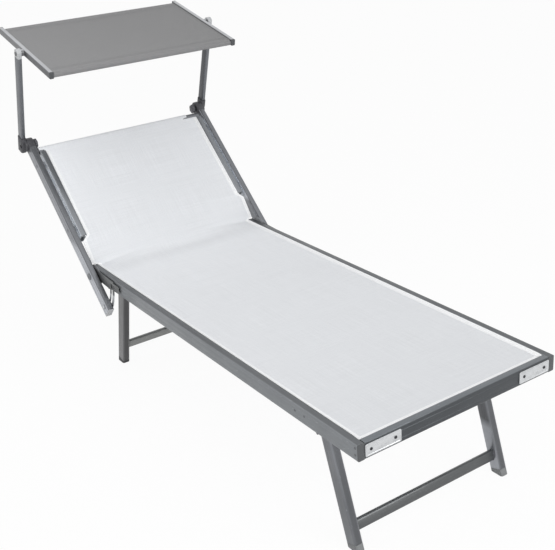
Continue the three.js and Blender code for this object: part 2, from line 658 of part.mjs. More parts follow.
// Inner rail of the backrest on the right, in line with the seat rail, with its two spacer bosses
function backRail() {
  const outline = moved(railOutline(seatSection), RAIL_MID, 0);
  const hollow = moved(chamber(seatSection), RAIL_MID, 0);
  const rail = solid(alongY(outline, BACK_RAIL_START, BACK_RAIL_END, [hollow]));
  const bosses = tieShares.map((share) => {
    const y = BACK_RAIL_START + (BACK_RAIL_END - BACK_RAIL_START) * share;
    return solid(alongX(ring(TAB_RIVET_R * 2, SMALL_STEPS, y, 0), HALF - RAIL_WALL / 2, BAR_IN - FIT));
  });
  return join(rail, ...bosses).transform(backFrame.elements);
}

function backTube(r, y, z, ends) {
  return solid(alongX(ring(r, CIRCLE_STEPS, y, z), -ends, ends, [ring(r - TUBE_WALL, CIRCLE_STEPS, y, z)]))
    .transform(backFrame.elements);
}

// Back panel: side beads in the inner rails and a sewn pocket round the top tube
function backFabric() {
  const section = panelSection(RAIL_IN, FABRIC, BEAD_R, seatBead, CHANNEL_Z);
  const panel = solid(alongY(section, BACK_RAIL_START + FIT, BACK_RAIL_END - FIT));
  const bore = TOP_TUBE_R + FIT;
  const x0 = -HALF + POCKET_LEFT_INSET;
  const x1 = HALF - POCKET_RIGHT_INSET;
  const pocket = solid(alongX(ring(bore + FABRIC, CIRCLE_STEPS, TOP_TUBE_AT, TOP_TUBE_W), x0, x1));
  const left = -RAIL_IN + FIT;
  const top = solid(alongZ([[left, BACK_RAIL_END - FABRIC], [x1, BACK_RAIL_END - FABRIC], [x1, TOP_TUBE_AT],
    [left, TOP_TUBE_AT]], CHANNEL_Z - FABRIC / 2, CHANNEL_Z + FABRIC / 2));
  const hollow = drill(bore, x0 - OVERRUN, x1 + OVERRUN, TOP_TUBE_AT, TOP_TUBE_W, CIRCLE_STEPS);
  return cut(join(panel, pocket, top), hollow).transform(backFrame.elements);
}

// Stud through the lever and the quadrant's slot, with its flat head behind the plate
function clampStud() {
  const headTop = PLATE_IN - FIT;
  const washer = PLATE_OUT + FIT;
  const out = BAR_OUT + FIT;
  const low = headTop - STUD_HEAD_H;
  return solid(turned([
    [0, low], [STUD_HEAD_R, low], [STUD_HEAD_R, headTop], [STUD_R, headTop],
    [STUD_R, washer], [STUD_HEAD_R, washer], [STUD_HEAD_R, BAR_IN - FIT], [STUD_R, BAR_IN - FIT],
    [STUD_R, out], [STUD_NUT_R, out], ...dome(STUD_NUT_R, out + STUD_NUT_H / 2, STUD_NUT_H / 2),
  ], -STUD_RADIUS, 0)).transform(backFrame.elements);
}

// Moulded head on the bar's top end: a disc, a plate with the tube's socket, a plug and the arm's bolt
function barHead() {
  const disc = solid(turned([
    [0, HEAD_IN], [HEAD_R - HEAD_SIDE, HEAD_IN], [HEAD_R, HEAD_IN + HEAD_SIDE], [HEAD_R, BAR_OUT],
    [HEAD_R - HEAD_SIDE, HEAD_OUT], [0, HEAD_OUT],
  ], BACK_LENGTH, 0));
  const end = BACK_LENGTH - HEAD_R;
  const section = moved(roundedBox(RAIL_W, RAIL_H, RAIL_CORNER), BAR_MID, 0);
  const collar = solid(alongY(section, end + FIT, BACK_LENGTH))
    .intersect(solid(alongX(ring(HEAD_R * 2, CIRCLE_STEPS, BACK_LENGTH, 0), BAR_IN - FIT, BAR_OUT)));
  const tall = RAIL_H + 2 * OVERRUN;
  const clearance = (w, x) => solid(
    alongY(moved(roundedBox(w, tall, RAIL_CORNER), x, 0), end - HEAD_R, end + FIT));
  const clearing = clearance(RAIL_W + 2 * FIT, BAR_MID);
  const rim = clearance(2 * OVERRUN, BAR_OUT + OVERRUN);
  const face = BAR_IN - FIT;
  const round = ring(HEAD_R - HEAD_SIDE, CIRCLE_STEPS, BACK_LENGTH, 0);
  const socket = ring(SOCKET_R, CIRCLE_STEPS, TOP_TUBE_AT, TOP_TUBE_W);
  const plate = Manifold.hull([round, socket].map((outline) => solid(alongX(outline, HEAD_IN, face))));
  const web = solid(alongX(socket, face - TUBE_SOCKET_DEPTH, face));
  const seat = drill(TOP_TUBE_R + FIT, HEAD_IN - TUBE_SOCKET_DEPTH * 2, face - HEAD_PLATE, TOP_TUBE_AT,
    TOP_TUBE_W, CIRCLE_STEPS);
  const room = chamberBox(barSection);
  const shank = moved(roundedBox(room.w - 2 * FIT, room.h - 2 * FIT, RAIL_WALL, 1), BAR_MID, room.z);
  const plug = solid(alongY(shank, end - HEAD_PLUG, BACK_LENGTH - HEAD_R / 2));
  const capIn = HUB_IN + HUB_DISC_H + FIT;
  const bolt = solid(turned([
    [0, HEAD_IN - KNOB_NECK_H], [HEAD_BOLT_R, HEAD_IN - KNOB_NECK_H], [HEAD_BOLT_R, capIn],
    [HEAD_CAP_R, capIn], ...dome(HEAD_CAP_R, capIn + HEAD_CAP_H / 2, HEAD_CAP_H / 2),
  ], BACK_LENGTH, 0, SMALL_STEPS));
  const body = join(cut(join(disc, collar), clearing, rim), plate, web, plug);
  return join(cut(body, seat), bolt).transform(backFrame.elements);
}

// Lobed hand knob about X, its open side at x0 and its face at x0 + way * height
function knob(x0, way, place) {
  const reach = KNOB_R - KNOB_LOBE_R;
  const lobes = Array.from({ length: KNOB_LOBES }, (_, i) => {
    const t = (2 * Math.PI * i) / KNOB_LOBES;
    const lobe = ring(KNOB_LOBE_R, SMALL_STEPS / 2, reach * Math.cos(t), reach * Math.sin(t));
    return solid(alongX(lobe, KNOB_NECK_H, KNOB_H));
  });
  const top = KNOB_H + KNOB_CAP_H;
  const core = solid(turned([[0, 0], [KNOB_NECK_R, 0], [KNOB_NECK_R, KNOB_NECK_H], [reach, KNOB_NECK_H],
    [reach, KNOB_H], [KNOB_CAP_R, KNOB_H], [KNOB_CAP_R, top], [0, top]]));
  const bore = drill(HEAD_BOLT_R + PIVOT_CLEAR, -OVERRUN, KNOB_NECK_H + PIVOT_CLEAR, 0, 0);
  const whole = geometryOf(cut(join(core, ...lobes), bore));
  const facing = way < 0 ? mirrorX(whole) : whole;
  return solid(facing.translate(x0, 0, 0)).transform(place.elements);
}

// Moulded hub of a canopy arm: a disc on the pivot and a socket behind it for the tube
function armHub() {
  const face = HUB_IN + HUB_DISC_H;
  const disc = solid(turned([[0, HUB_IN], [HUB_DISC_R, HUB_IN], [HUB_DISC_R, face - HEAD_SIDE],
    [HUB_DISC_R - HEAD_SIDE, face], [0, face]]));
  const x = ARM_IN + ARM_W / 2;
  const around = (gap) => moved(
    roundedBox(ARM_W + 2 * gap, ARM_D + 2 * gap, ARM_CORNER + gap), x, ARM_OFFSET);
  const socket = solid(alongZ(around(SOCKET_WALL), -SOCKET_BELOW, SOCKET_ABOVE));
  const room = solid(alongZ(around(FIT), SOCKET_FLOOR, SOCKET_ABOVE + OVERRUN));
  const sight = drill(HEAD_CAP_R + PIVOT_CLEAR, face, ARM_OUT + OVERRUN, 0, 0, SMALL_STEPS);
  const bore = drill(HEAD_BOLT_R + PIVOT_CLEAR, HUB_IN - OVERRUN, ARM_OUT + OVERRUN, 0, 0);
  return cut(join(disc, socket), room, sight, bore).transform(armFrame.elements);
}

// Arm tube, plugged in the hub below
function arm() {
  const x = ARM_IN + ARM_W / 2;
  const outer = moved(roundedBox(ARM_W, ARM_D, ARM_CORNER), x, ARM_OFFSET);
  const [w, d] = [ARM_W - 2 * ARM_WALL, ARM_D - 2 * ARM_WALL];
  const inner = moved(roundedBox(w, d, ARM_CORNER - ARM_WALL), x, ARM_OFFSET);
  return solid(alongZ(outer, SOCKET_FLOOR + FIT, ARM_LENGTH - ARM_D / 2, [inner]))
    .transform(armFrame.elements);
}

// Moulded tip of the arm: a plug and a rounded head that takes the canopy's pin
function armTip() {
  const x = ARM_IN + ARM_W / 2;
  const from = ARM_LENGTH - ARM_D / 2;
  const outline = moved(roundedBox(ARM_W, ARM_D, ARM_CORNER), x, ARM_OFFSET);
  const head = solid(alongZ(outline, from + FIT, ARM_LENGTH + ARM_D / 2));
  const round = solid(alongX(moved([...arc(ARM_D / 2, 0, Math.PI, CIRCLE_STEPS / 2), [-ARM_D / 2, -ARM_D],
    [ARM_D / 2, -ARM_D]], ARM_OFFSET, ARM_LENGTH), ARM_IN - OVERRUN, ARM_OUT + OVERRUN));
  const inset = 2 * (ARM_WALL + FIT);
  const shank = moved(roundedBox(ARM_W - inset, ARM_D - inset, ARM_CORNER - ARM_WALL), x, ARM_OFFSET);
  const plug = solid(alongZ(shank, from - TIP_PLUG, ARM_LENGTH - FIT));
  const hole = CANOPY_PIN_R + PIVOT_CLEAR;
  const bore = drill(hole, ARM_IN - OVERRUN, ARM_OUT + OVERRUN, ARM_OFFSET, ARM_LENGTH);
  return cut(join(head.intersect(round), plug), bore).transform(armFrame.elements);
}

// Canopy side rail on the right, drawn along y from its pivot, with the pivot's boss and headed pin
function canopyRail() {
  const end = CANOPY_DEPTH / 2 - CANOPY_CAP;
  const outline = moved(railOutline(canopySection), CANOPY_HALF, 0);
  const hollow = moved(chamber(canopySection), CANOPY_HALF, 0);
  const rail = solid(alongY(outline, -end, end, [hollow]));
  const face = CANOPY_HALF + CANOPY_RAIL_W / 2;
  const head = ARM_OUT + PIVOT_CLEAR;
  const pin = solid(turned([[0, face - CANOPY_WALL / 2], [CANOPY_BOSS_R, face - CANOPY_WALL / 2],
    [CANOPY_BOSS_R, ARM_IN - PIVOT_CLEAR], [CANOPY_PIN_R, ARM_IN - PIVOT_CLEAR], [CANOPY_PIN_R, head],
    [CANOPY_HEAD_R, head], ...dome(CANOPY_HEAD_R, head + CANOPY_HEAD_H / 2, CANOPY_HEAD_H / 2)]));
  return join(rail, pin).transform(canopyFrame.elements);
}

function canopyCap(way) {
  const [out, face] = [way * CANOPY_DEPTH / 2, way * (CANOPY_DEPTH / 2 - CANOPY_CAP)];
  return endCap(canopySection, CANOPY_HALF, 0, face, out, face - way * CAP_PLUG)
    .transform(canopyFrame.elements);
}

// Hollow rod in the canopy's hem, between the side rails
const rodZ = canopySection.channel.z + CANOPY_FABRIC / 2 - (CANOPY_ROD_R + FIT + CANOPY_FABRIC);
const rodEnds = CANOPY_HALF - CANOPY_RAIL_W / 2 - FIT;

function canopyRod(way) {
  const y = way * (CANOPY_DEPTH / 2 - CANOPY_ROD_INSET);
  const hollow = ring(CANOPY_ROD_R - CANOPY_WALL, SMALL_STEPS, y, rodZ);
  return solid(alongX(ring(CANOPY_ROD_R, SMALL_STEPS, y, rodZ), -rodEnds, rodEnds, [hollow]))
    .transform(canopyFrame.elements);
}

// Canopy cloth: side beads in the rails and a hem round each rod
function canopyFabric() {
  const faces = CANOPY_HALF - CANOPY_RAIL_W / 2;
  const section = panelSection(faces, CANOPY_FABRIC, CANOPY_BEAD_R, canopyBead, canopySection.channel.z);
  const y = CANOPY_DEPTH / 2 - CANOPY_ROD_INSET;
  const panel = solid(alongY(section, -y, y));
  const bore = CANOPY_ROD_R + FIT;
  const hem = (at) => ring(bore + CANOPY_FABRIC, CIRCLE_STEPS, at, rodZ);
  const hems = [-y, y].map((at) => solid(alongX(hem(at), -rodEnds, rodEnds)));
  const hollows = [-y, y].map((at) => drill(bore, -faces - OVERRUN, faces + OVERRUN, at, rodZ));
  return cut(join(panel, ...hems), ...hollows).transform(canopyFrame.elements);
}

// Assembly
const group = new THREE.Group();
group.name = 'sun_lounger';

function add(name, kind, piece) {
  const geometry = piece.isBufferGeometry ? mergeVertices(stripped(piece)) : geometryOf(piece);
  const mesh = new THREE.Mesh(geometry, material(kind));
  mesh.name = name;
  group.add(mesh);
  return geometry;
}

function addPair(name, kind, piece) {
  const right = add(`${name}_right`, kind, piece);
  const left = new THREE.Mesh(mirrorX(right), material(kind));
  left.name = `${name}_left`;
  group.add(left);
}

function addSeat() {
  addPair('seat_rail', 'aluminium', seatRail());
  addPair('seat_cap_front', 'darkcap', seatRailCap(true));
  addPair('seat_cap_rear', 'darkcap', seatRailCap(false));
  add('front_rail', 'aluminium', frontRail());
  addPair('corner_plate', 'bright', cornerPlate());
  add('mid_tube', 'aluminium', crossTube(MID_TUBE_Y));
  add('rear_tube', 'aluminium', crossTube(REAR_TUBE_Y));
  add('seat_fabric', 'white', seatFabric());
  addPair('quadrant', 'bright', quadrant());
  addPair('hinge_pin', 'black', hingePin());
  addPair('front_bracket', 'black', legBracket(legPivots.front, -1, FRONT_SPLAY_ANGLE));
  addPair('rear_bracket', 'black', legBracket(legPivots.rear, 1, REAR_SPLAY_ANGLE));
}

function addLegs(name, pivot, way, splay, height) {
  addPair(`${name}_leg`, 'aluminium', leg(pivot, way, splay));
  addPair(`${name}_foot`, 'black', foot(pivot, way, splay));
  add(`${name}_crossbar`, 'aluminium', crossbar(pivot, way, splay, height));
}

function addBackrest() {
  addPair('back_bar', 'aluminium', backBar());
  addPair('back_bar_cap', 'light', backBarCap());
  addPair('back_rail', 'aluminium', backRail());
  add('back_top_tube', 'aluminium', backTube(TOP_TUBE_R, TOP_TUBE_AT, TOP_TUBE_W, HEAD_IN - FIT));
  const lowZ = TUBE_R + TUBE_LIFT - RAIL_H / 2;
  add('back_low_tube', 'aluminium', backTube(TUBE_R, LOW_TUBE_AT, lowZ, RAIL_IN - FIT));
  add('back_fabric', 'white', backFabric());
  addPair('clamp_stud', 'steel', clampStud());
  addPair('bar_head', 'black', barHead());
  const place = new THREE.Matrix4().makeTranslation(0, armPivot.y, armPivot.z);
  addPair('fold_knob', 'black', knob(HEAD_IN - PIVOT_CLEAR, -1, place));
}

function addCanopy() {
  addPair('arm_hub', 'black', armHub());
  addPair('arm', 'aluminium', arm());
  addPair('arm_tip', 'light', armTip());
  addPair('canopy_rail', 'aluminium', canopyRail());
  addPair('canopy_cap_front', 'darkcap', canopyCap(-1));
  addPair('canopy_cap_rear', 'darkcap', canopyCap(1));
  add('canopy_rod_front', 'aluminium', canopyRod(-1));
  add('canopy_rod_rear', 'aluminium', canopyRod(1));
  add('canopy_fabric', 'grey', canopyFabric());
}

addSeat();
addLegs('front', legPivots.front, -1, FRONT_SPLAY_ANGLE, FRONT_BAR_Z);
addLegs('rear', legPivots.rear, 1, REAR_SPLAY_ANGLE, REAR_BAR_Z);
addBackrest();
addCanopy();

// The box's centre goes to x = y = 0 and its lowest point to z = 0
const box = new THREE.Box3().setFromObject(group);
const centre = box.getCenter(new THREE.Vector3());
group.children.forEach((mesh) => mesh.geometry.translate(-centre.x, -centre.y, -box.min.z));

export const frame = {
  shiftY: -centre.y,
  shiftZ: -box.min.z,
  hinge: [0, HINGE_Y - centre.y, RAIL_Z - box.min.z],
  armPivot: [0, armPivot.y - centre.y, armPivot.z - box.min.z],
  canopyPivot: [0, canopyPivot.y - centre.y, canopyPivot.z - box.min.z],
  frontLeg: [0, FRONT_PIVOT_Y - centre.y, LEG_PIVOT_Z - box.min.z],
  rearLeg: [0, REAR_PIVOT_Y - centre.y, LEG_PIVOT_Z - box.min.z],
  box: [box.min.toArray(), box.max.toArray()],
};

export default group;
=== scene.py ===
"""Folding sun lounger with a reclining back and a tilting canopy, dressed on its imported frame."""
import json
import logging
import math
from collections.abc import Callable, Iterable, Sequence
from dataclasses import dataclass, field
from enum import Enum
from functools import reduce

import bmesh
import bpy
import numpy as np
from mathutils import Matrix, Vector

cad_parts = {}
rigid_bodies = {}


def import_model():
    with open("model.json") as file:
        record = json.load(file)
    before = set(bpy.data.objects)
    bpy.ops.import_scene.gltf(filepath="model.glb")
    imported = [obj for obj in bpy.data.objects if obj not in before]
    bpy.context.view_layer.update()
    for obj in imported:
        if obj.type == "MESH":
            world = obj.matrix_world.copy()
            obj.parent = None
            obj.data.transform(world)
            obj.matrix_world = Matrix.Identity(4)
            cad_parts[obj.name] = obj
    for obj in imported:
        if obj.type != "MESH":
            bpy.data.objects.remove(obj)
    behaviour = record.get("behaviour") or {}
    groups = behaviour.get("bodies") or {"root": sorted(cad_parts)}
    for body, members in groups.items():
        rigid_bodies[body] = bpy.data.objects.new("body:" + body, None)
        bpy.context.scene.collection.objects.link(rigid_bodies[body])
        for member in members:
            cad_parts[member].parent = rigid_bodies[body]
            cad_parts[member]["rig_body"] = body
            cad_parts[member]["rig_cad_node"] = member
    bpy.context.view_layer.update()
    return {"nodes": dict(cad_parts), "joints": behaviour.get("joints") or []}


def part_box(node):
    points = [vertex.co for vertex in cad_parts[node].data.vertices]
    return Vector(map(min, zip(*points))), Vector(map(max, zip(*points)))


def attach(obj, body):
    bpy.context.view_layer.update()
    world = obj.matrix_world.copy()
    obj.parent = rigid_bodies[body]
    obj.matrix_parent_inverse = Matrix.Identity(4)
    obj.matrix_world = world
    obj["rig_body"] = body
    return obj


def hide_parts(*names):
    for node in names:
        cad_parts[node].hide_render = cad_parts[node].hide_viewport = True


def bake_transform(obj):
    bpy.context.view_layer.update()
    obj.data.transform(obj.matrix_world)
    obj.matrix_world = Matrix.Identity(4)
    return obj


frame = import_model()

Triple = tuple[float, float, float]
Colour = Triple
Spot = tuple[float, float]
Socket = bpy.types.NodeSocket
Material = bpy.types.Material
Piece = bpy.types.Object
WHITE: Colour = (1.0, 1.0, 1.0)
STILL = Matrix.Identity(4)
CENTRE = (0, 0, 0)
QUARTER = math.pi / 2
log = logging.getLogger("lounger")


class Body(Enum):
    """The bodies that the joints move."""

    SEAT = "seat_frame"
    FRONT_LEGS = "front_legs"
    REAR_LEGS = "rear_legs"
    BACK = "backrest"
    LEFT_KNOB = "left_knob"
    RIGHT_KNOB = "right_knob"
    ARMS = "canopy_arms"
    CANOPY = "canopy"


class Slot(Enum):
    """The record's material slots."""

    FRAME = "frame_aluminium"
    BRIGHT = "bright_aluminium"
    STEEL = "steel"
    BLACK = "black_plastic"
    DARK = "dark_plastic"
    LIGHT = "light_plastic"
    PALE_CLOTH = "pale_fabric"
    GREY_CLOTH = "grey_fabric"


class Side(Enum):
    """The two sides, seen from the foot end."""

    LEFT = -1
    RIGHT = 1

    @property
    def word(self) -> str:
        """The side's name as node names end with it."""
        return self.name.lower()


class End(Enum):
    """The two ends of a rail or of the lounger, as node names have them."""

    FRONT = "front"
    REAR = "rear"


class Edge(Enum):
    """How far the edges of each kind of piece are rounded, in metres."""

    TUBE = 0.0002
    EXTRUSION = 0.00025
    FINE = 0.0003
    STUD = 0.0004
    BRACKET = 0.0006
    HEAD = 0.0007
    CAP = 0.0008
    TIP = 0.0009


class Fastener(Enum):
    """The fasteners that are modelled once and copied."""

    RIVET = "rivet"
    SCREW = "screw"


class Pick(Enum):
    """What is selected in edit mode."""

    FACES = "FACE"
    EDGES = "EDGE"
    POINTS = "VERT"


def linear(red: int, green: int, blue: int) -> Colour:
    """Turns screen values from 0 to 255 into a linear colour."""
    shares = (value / 255 for value in (red, green, blue))
    return tuple(s / 12.92 if s < 0.0404 else ((s + 0.055) / 1.055) ** 2.4 for s in shares)


def toned(colour: Colour, share: float) -> Colour:
    """The colour with its lightness times a share."""
    return tuple(min(1.0, part * share) for part in colour)


def box_of(node: str) -> tuple[Vector, Vector, Vector]:
    """The lowest corner, the highest corner and the middle of a frame node's box."""
    low, high = (Vector(corner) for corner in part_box(node))
    return low, high, (low + high) / 2


class Places:
    """Points, angles and turned frames that the pieces share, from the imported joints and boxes."""

    ARM_ANGLE = math.radians(19.2)
    CANOPY_ANGLE = math.radians(14)
    FRONT_LEAN = math.radians(-17.8)
    REAR_LEAN = math.radians(15.6)
    RAIL_GAP = 0.0003
    CAP_PLATE = 0.0025

    def __init__(self) -> None:
        """Reads the joints' places and the rails' faces."""
        joints = {joint["name"]: Vector(joint["pos_m"]) for joint in frame["joints"]}
        self.hinge = joints["back_recline"]
        self.arm_pivot = joints["arms_swing"]
        self.legs = {End.FRONT: joints["front_legs_fold"], End.REAR: joints["rear_legs_fold"]}
        rise = self.arm_pivot - self.hinge
        self.back_angle = math.atan2(rise.z, rise.y)
        self.back = self.turned(self.hinge, self.back_angle)
        self.arm = self.turned(self.arm_pivot, self.ARM_ANGLE)
        self.canopy = self.turned(joints["canopy_tilt"], self.CANOPY_ANGLE)
        low, high, _ = box_of("seat_rail_right")
        self.rail_in = box_of("front_rail")[1].x + self.RAIL_GAP
        self.half = high.x
        self.front = low.y - self.CAP_PLATE
        self.top = high.z

    @staticmethod
    def turned(point: Vector, angle: float) -> Matrix:
        """A frame at a point, turned about X."""
        return Matrix.Translation(point) @ Matrix.Rotation(angle, 4, "X")


PLACES = Places()


def direction(turn: Matrix, y: float, z: float) -> Triple:
    """A direction in the plane of the sides, given in a turned frame."""
    return tuple(turn.to_3x3() @ Vector((0, y, z)))


# Materials


class NodeBoard:
    """A node tree that is filled step by step."""

    def __init__(self, tree: bpy.types.NodeTree) -> None:
        """Empties the tree that the board fills."""
        self.nodes, self.links = tree.nodes, tree.links
        self.nodes.clear()

    def put(self, socket: Socket, value: object) -> None:
        """Wires a socket to another one, or sets its value.

        Args:
            socket: The socket.
            value: Another socket, a number, a vector or a colour.
        """
        if isinstance(value, Socket):
            self.links.new(value, socket)
        elif socket.type == "RGBA":
            socket.default_value = (*value, 1.0)
        else:
            socket.default_value = value

    def add(self, kind: str, inputs: dict[int | str, object] | None = None,
            **settings: object) -> bpy.types.Node:
        """Adds a node.

        Args:
            kind: The node's type.
            inputs: Values or sockets for its inputs, by number or name.
            **settings: Its properties.

        Returns:
            The node.
        """
        node = self.nodes.new(kind)
        for key, value in settings.items():
            setattr(node, key, value)
        for key, value in (inputs or {}).items():
            self.put(node.inputs[key], value)
        return node

    def maths(self, operation: str, a: object, b: object = 0.0, clamp: bool = False) -> Socket:
        """One step of arithmetic, held between 0 and 1 where it is clamped."""
        return self.add("ShaderNodeMath", {0: a, 1: b}, operation=operation, use_clamp=clamp).outputs[0]

    def times(self, a: object, b: object, clamp: bool = False) -> Socket:
        """The product of two values or sockets."""
        return self.maths("MULTIPLY", a, b, clamp)

    def plus(self, *values: object) -> Socket:
        """The sum of values or sockets."""
        return reduce(lambda total, value: self.maths("ADD", total, value), values)

    def unsigned(self, value: object) -> Socket:
        """A value without its sign."""
        return self.maths("ABSOLUTE", value)

    def dot(self, vector: Socket, other: object) -> Socket:
        """The dot product of a vector with a direction or another vector."""
        node = self.add("ShaderNodeVectorMath", {0: vector, 1: other}, operation="DOT_PRODUCT")
        return node.outputs["Value"]

    def parts(self, vector: Socket) -> list[Socket]:
        """The three components of a vector."""
        return list(self.add("ShaderNodeSeparateXYZ", {0: vector}).outputs)

    def vector(self, x: object, y: object, z: object) -> Socket:
        """A vector from three values or sockets."""
        return self.add("ShaderNodeCombineXYZ", {0: x, 1: y, 2: z}).outputs[0]

    def noise(self, vector: Socket, scale: float, detail: float = 2.0, rough: float = 0.5) -> Socket:
        """Noise from 0 to 1 at a scale in cycles per metre, with finer layers of a weight."""
        inputs = {"Vector": vector, "Scale": scale, "Detail": detail, "Roughness": rough}
        return self.add("ShaderNodeTexNoise", inputs).outputs["Fac"]

    def spread(self, value: Socket, low: float, high: float, to_low: float = 0.0,
               to_high: float = 1.0) -> Socket:
        """Maps a range of a value to another range, and holds it there."""
        numbers = (value, low, high, to_low, to_high)
        return self.add("ShaderNodeMapRange", dict(enumerate(numbers))).outputs[0]

    def mixed(self, share: Socket, a: object, b: object) -> Socket:
        """A colour between a and b, with a share of b."""
        return self.add("ShaderNodeMix", {0: share, 6: a, 7: b}, data_type="RGBA").outputs[2]

    def scaled(self, colour: Socket, share: Socket) -> Socket:
        """A colour times a share, at most white."""
        grown = self.add("ShaderNodeVectorMath", {0: colour, "Scale": share}, operation="SCALE").outputs[0]
        return self.add("ShaderNodeVectorMath", {0: grown, 1: WHITE}, operation="MINIMUM").outputs[0]

    def bumped(self, height: Socket, depth: float, under: Socket | None = None) -> Socket:
        """A normal with relief.

        Args:
            height: The relief, 0 to 1.
            depth: How deep it is in metres.
            under: A normal that it lies on.

        Returns:
            The normal's socket.
        """
        inputs = {"Strength": 1.0, "Distance": depth, "Height": height}
        if under is not None:
            inputs["Normal"] = under
        return self.add("ShaderNodeBump", inputs).outputs["Normal"]

    def rounded(self, radius: float, samples: int) -> Socket:
        """A normal that turns evenly over the edges, within a radius."""
        return self.add("ShaderNodeBevel", {"Radius": radius}, samples=samples).outputs["Normal"]

    def worn_edges(self, radius: float, gain: float) -> Socket:
        """How near a sharp edge a point is, from 0 to 1.

        Args:
            radius: How far the wear and the painted edge highlight reach in metres.
            gain: How strongly it shows.

        Returns:
            The mask's socket.
        """
        plain = self.add("ShaderNodeNewGeometry").outputs["Normal"]
        apart = self.maths("SUBTRACT", 1.0, self.dot(self.rounded(radius, 4), plain))
        return self.times(apart, gain, clamp=True)

    def seen(self) -> Socket:
        """A factor that is 1 where the camera, gloss or glass looks, and 0 otherwise.

        Returns:
            The factor's socket.
        """
        path = self.add("ShaderNodeLightPath").outputs
        direct = self.maths("MAXIMUM", path["Is Camera Ray"], path["Is Glossy Ray"])
        return self.maths("MAXIMUM", direct, path["Is Transmission Ray"])


class MaterialBoard(NodeBoard):
    """The nodes of one material, with its shader and output wired."""

    def __init__(self, name: str) -> None:
        """Starts a material.

        Args:
            name: The material's name.
        """
        self.material = bpy.data.materials.new(name)
        self.material.use_nodes = True
        super().__init__(self.material.node_tree)
        self.shader = self.add("ShaderNodeBsdfPrincipled")
        self.output = self.add("ShaderNodeOutputMaterial", {"Surface": self.shader.outputs["BSDF"]})

    def point(self) -> Socket:
        """The piece's own coordinates."""
        return self.add("ShaderNodeTexCoord").outputs["Object"]

    def finish(self, **sockets: object) -> Material:
        """Sets the shader's sockets and gives the material.

        Args:
            **sockets: Values by the sockets' names, with an underscore for each space.

        Returns:
            The material.
        """
        for key, value in sockets.items():
            self.put(self.shader.inputs[key.replace("_", " ")], value)
        return self.material


@dataclass(frozen=True)
class ExtrudedAluminium:
    """Anodised aluminium drawn through a die: fine lines along the member, faint scratches, and edges rubbed
    bright with a painted highlight on them.

    Faces that look up, outwards, to the middle or round a corner get painted light and shade as shares of the
    colour, in place of the reflections, highlights and shadows that fall on them. Inner and outer faces below
    the height of change have the painted shares below and side_below.
    """

    name: str
    run: Triple
    colour: Colour
    # top, side, inside, corner, below and side_below are shares of painted light and shade on the faces.
    top: float = 1.0
    side: float = 1.0
    inside: float = 1.0
    corner: float = 1.0
    roughness: float = 0.4
    soft: float = 0.0
    below: float = 1.0
    side_below: float = 1.0
    change: float = -1.0
    change_half: float = 0.012
    metallic: float = 0.8
    wear: float = 0.35
    line_scale: float = 1500.0
    line_depth: float = 0.00002
    edge_reach: float = 0.0012

    def zone(self, board: MaterialBoard) -> Socket:
        """The painted light and shade, as a share of the colour, by the way that a face looks.

        Args:
            board: The material's nodes.

        Returns:
            The share's socket.
        """
        texture = board.add("ShaderNodeTexCoord").outputs
        x, y, z = board.parts(texture["Normal"])
        place = board.parts(texture["Object"])
        flat = board.parts(board.add("ShaderNodeNewGeometry").outputs["True Normal"])[0]
        # Painted light and shade by face: outer and inner sides, changing at a height, upward faces and
        # rounded corners.
        outward = board.times(flat, board.maths("SIGN", place[0]))
        step = (self.change - self.change_half, self.change + self.change_half)
        outer = board.spread(place[2], *step, self.side_below - 1, self.side - 1)
        inner = board.spread(place[2], *step, self.below - 1, self.inside - 1)
        aside = board.plus(board.times(board.spread(outward, 0.6, 0.95), outer),
                           board.times(board.spread(outward, -0.6, -0.95), inner))
        up = board.spread(z, 0.62, 0.95, 0.0, self.top - 1)
        between = board.unsigned(board.times(x, board.plus(board.unsigned(y), board.unsigned(z))))
        bent = board.spread(between, 0.1, 0.5, 0.0, self.corner - 1)
        return board.plus(up, aside, bent, 1.0)

    def build(self) -> Material:
        """Makes the material.

        Returns:
            The material.
        """
        board = MaterialBoard(self.name)
        point = board.point()
        run = Vector(self.run).normalized()
        side = run.orthogonal().normalized()
        axes = (run, side, run.cross(side))
        lengthways, across, through = (board.dot(point, tuple(axis)) for axis in axes)
        drawn = board.vector(board.times(lengthways, 0.012), across, through)
        lines = board.noise(drawn, self.line_scale, 3, 0.6)
        cloud = board.noise(point, 14.0, 4, 0.55)
        slanting = board.plus(across, board.times(lengthways, 0.35))
        nick = board.noise(board.vector(board.times(lengthways, 0.06), slanting, through), 420.0, 1)
        scratch = board.spread(nick, 0.70, 0.74)
        edge = board.worn_edges(self.edge_reach, self.wear * 6)
        tone = board.mixed(board.spread(lines, 0.3, 0.7), toned(self.colour, 0.86), toned(self.colour, 1.12))
        cloudy = board.mixed(board.spread(cloud, 0.35, 0.7, 0.0, 0.3), tone, toned(self.colour, 0.8))
        # Edges lighter: rubbed wear and a painted highlight.
        rubbed_and_highlit = board.mixed(board.times(edge, self.wear, clamp=True), cloudy, toned(self.colour, 2.6))
        worn_and_highlit = board.mixed(board.times(scratch, 0.35), rubbed_and_highlit, toned(self.colour, 2.0))
        rough = board.spread(board.plus(lines, cloud), 0.6, 1.4, self.roughness - 0.06, self.roughness + 0.09)
        under = board.rounded(self.soft, 6) if self.soft > 0 else None
        # The colour times each face's painted light and shade.
        return board.finish(Base_Color=board.scaled(worn_and_highlit, self.zone(board)), Roughness=rough,
                            Metallic=self.metallic, Normal=board.bumped(lines, self.line_depth, under))


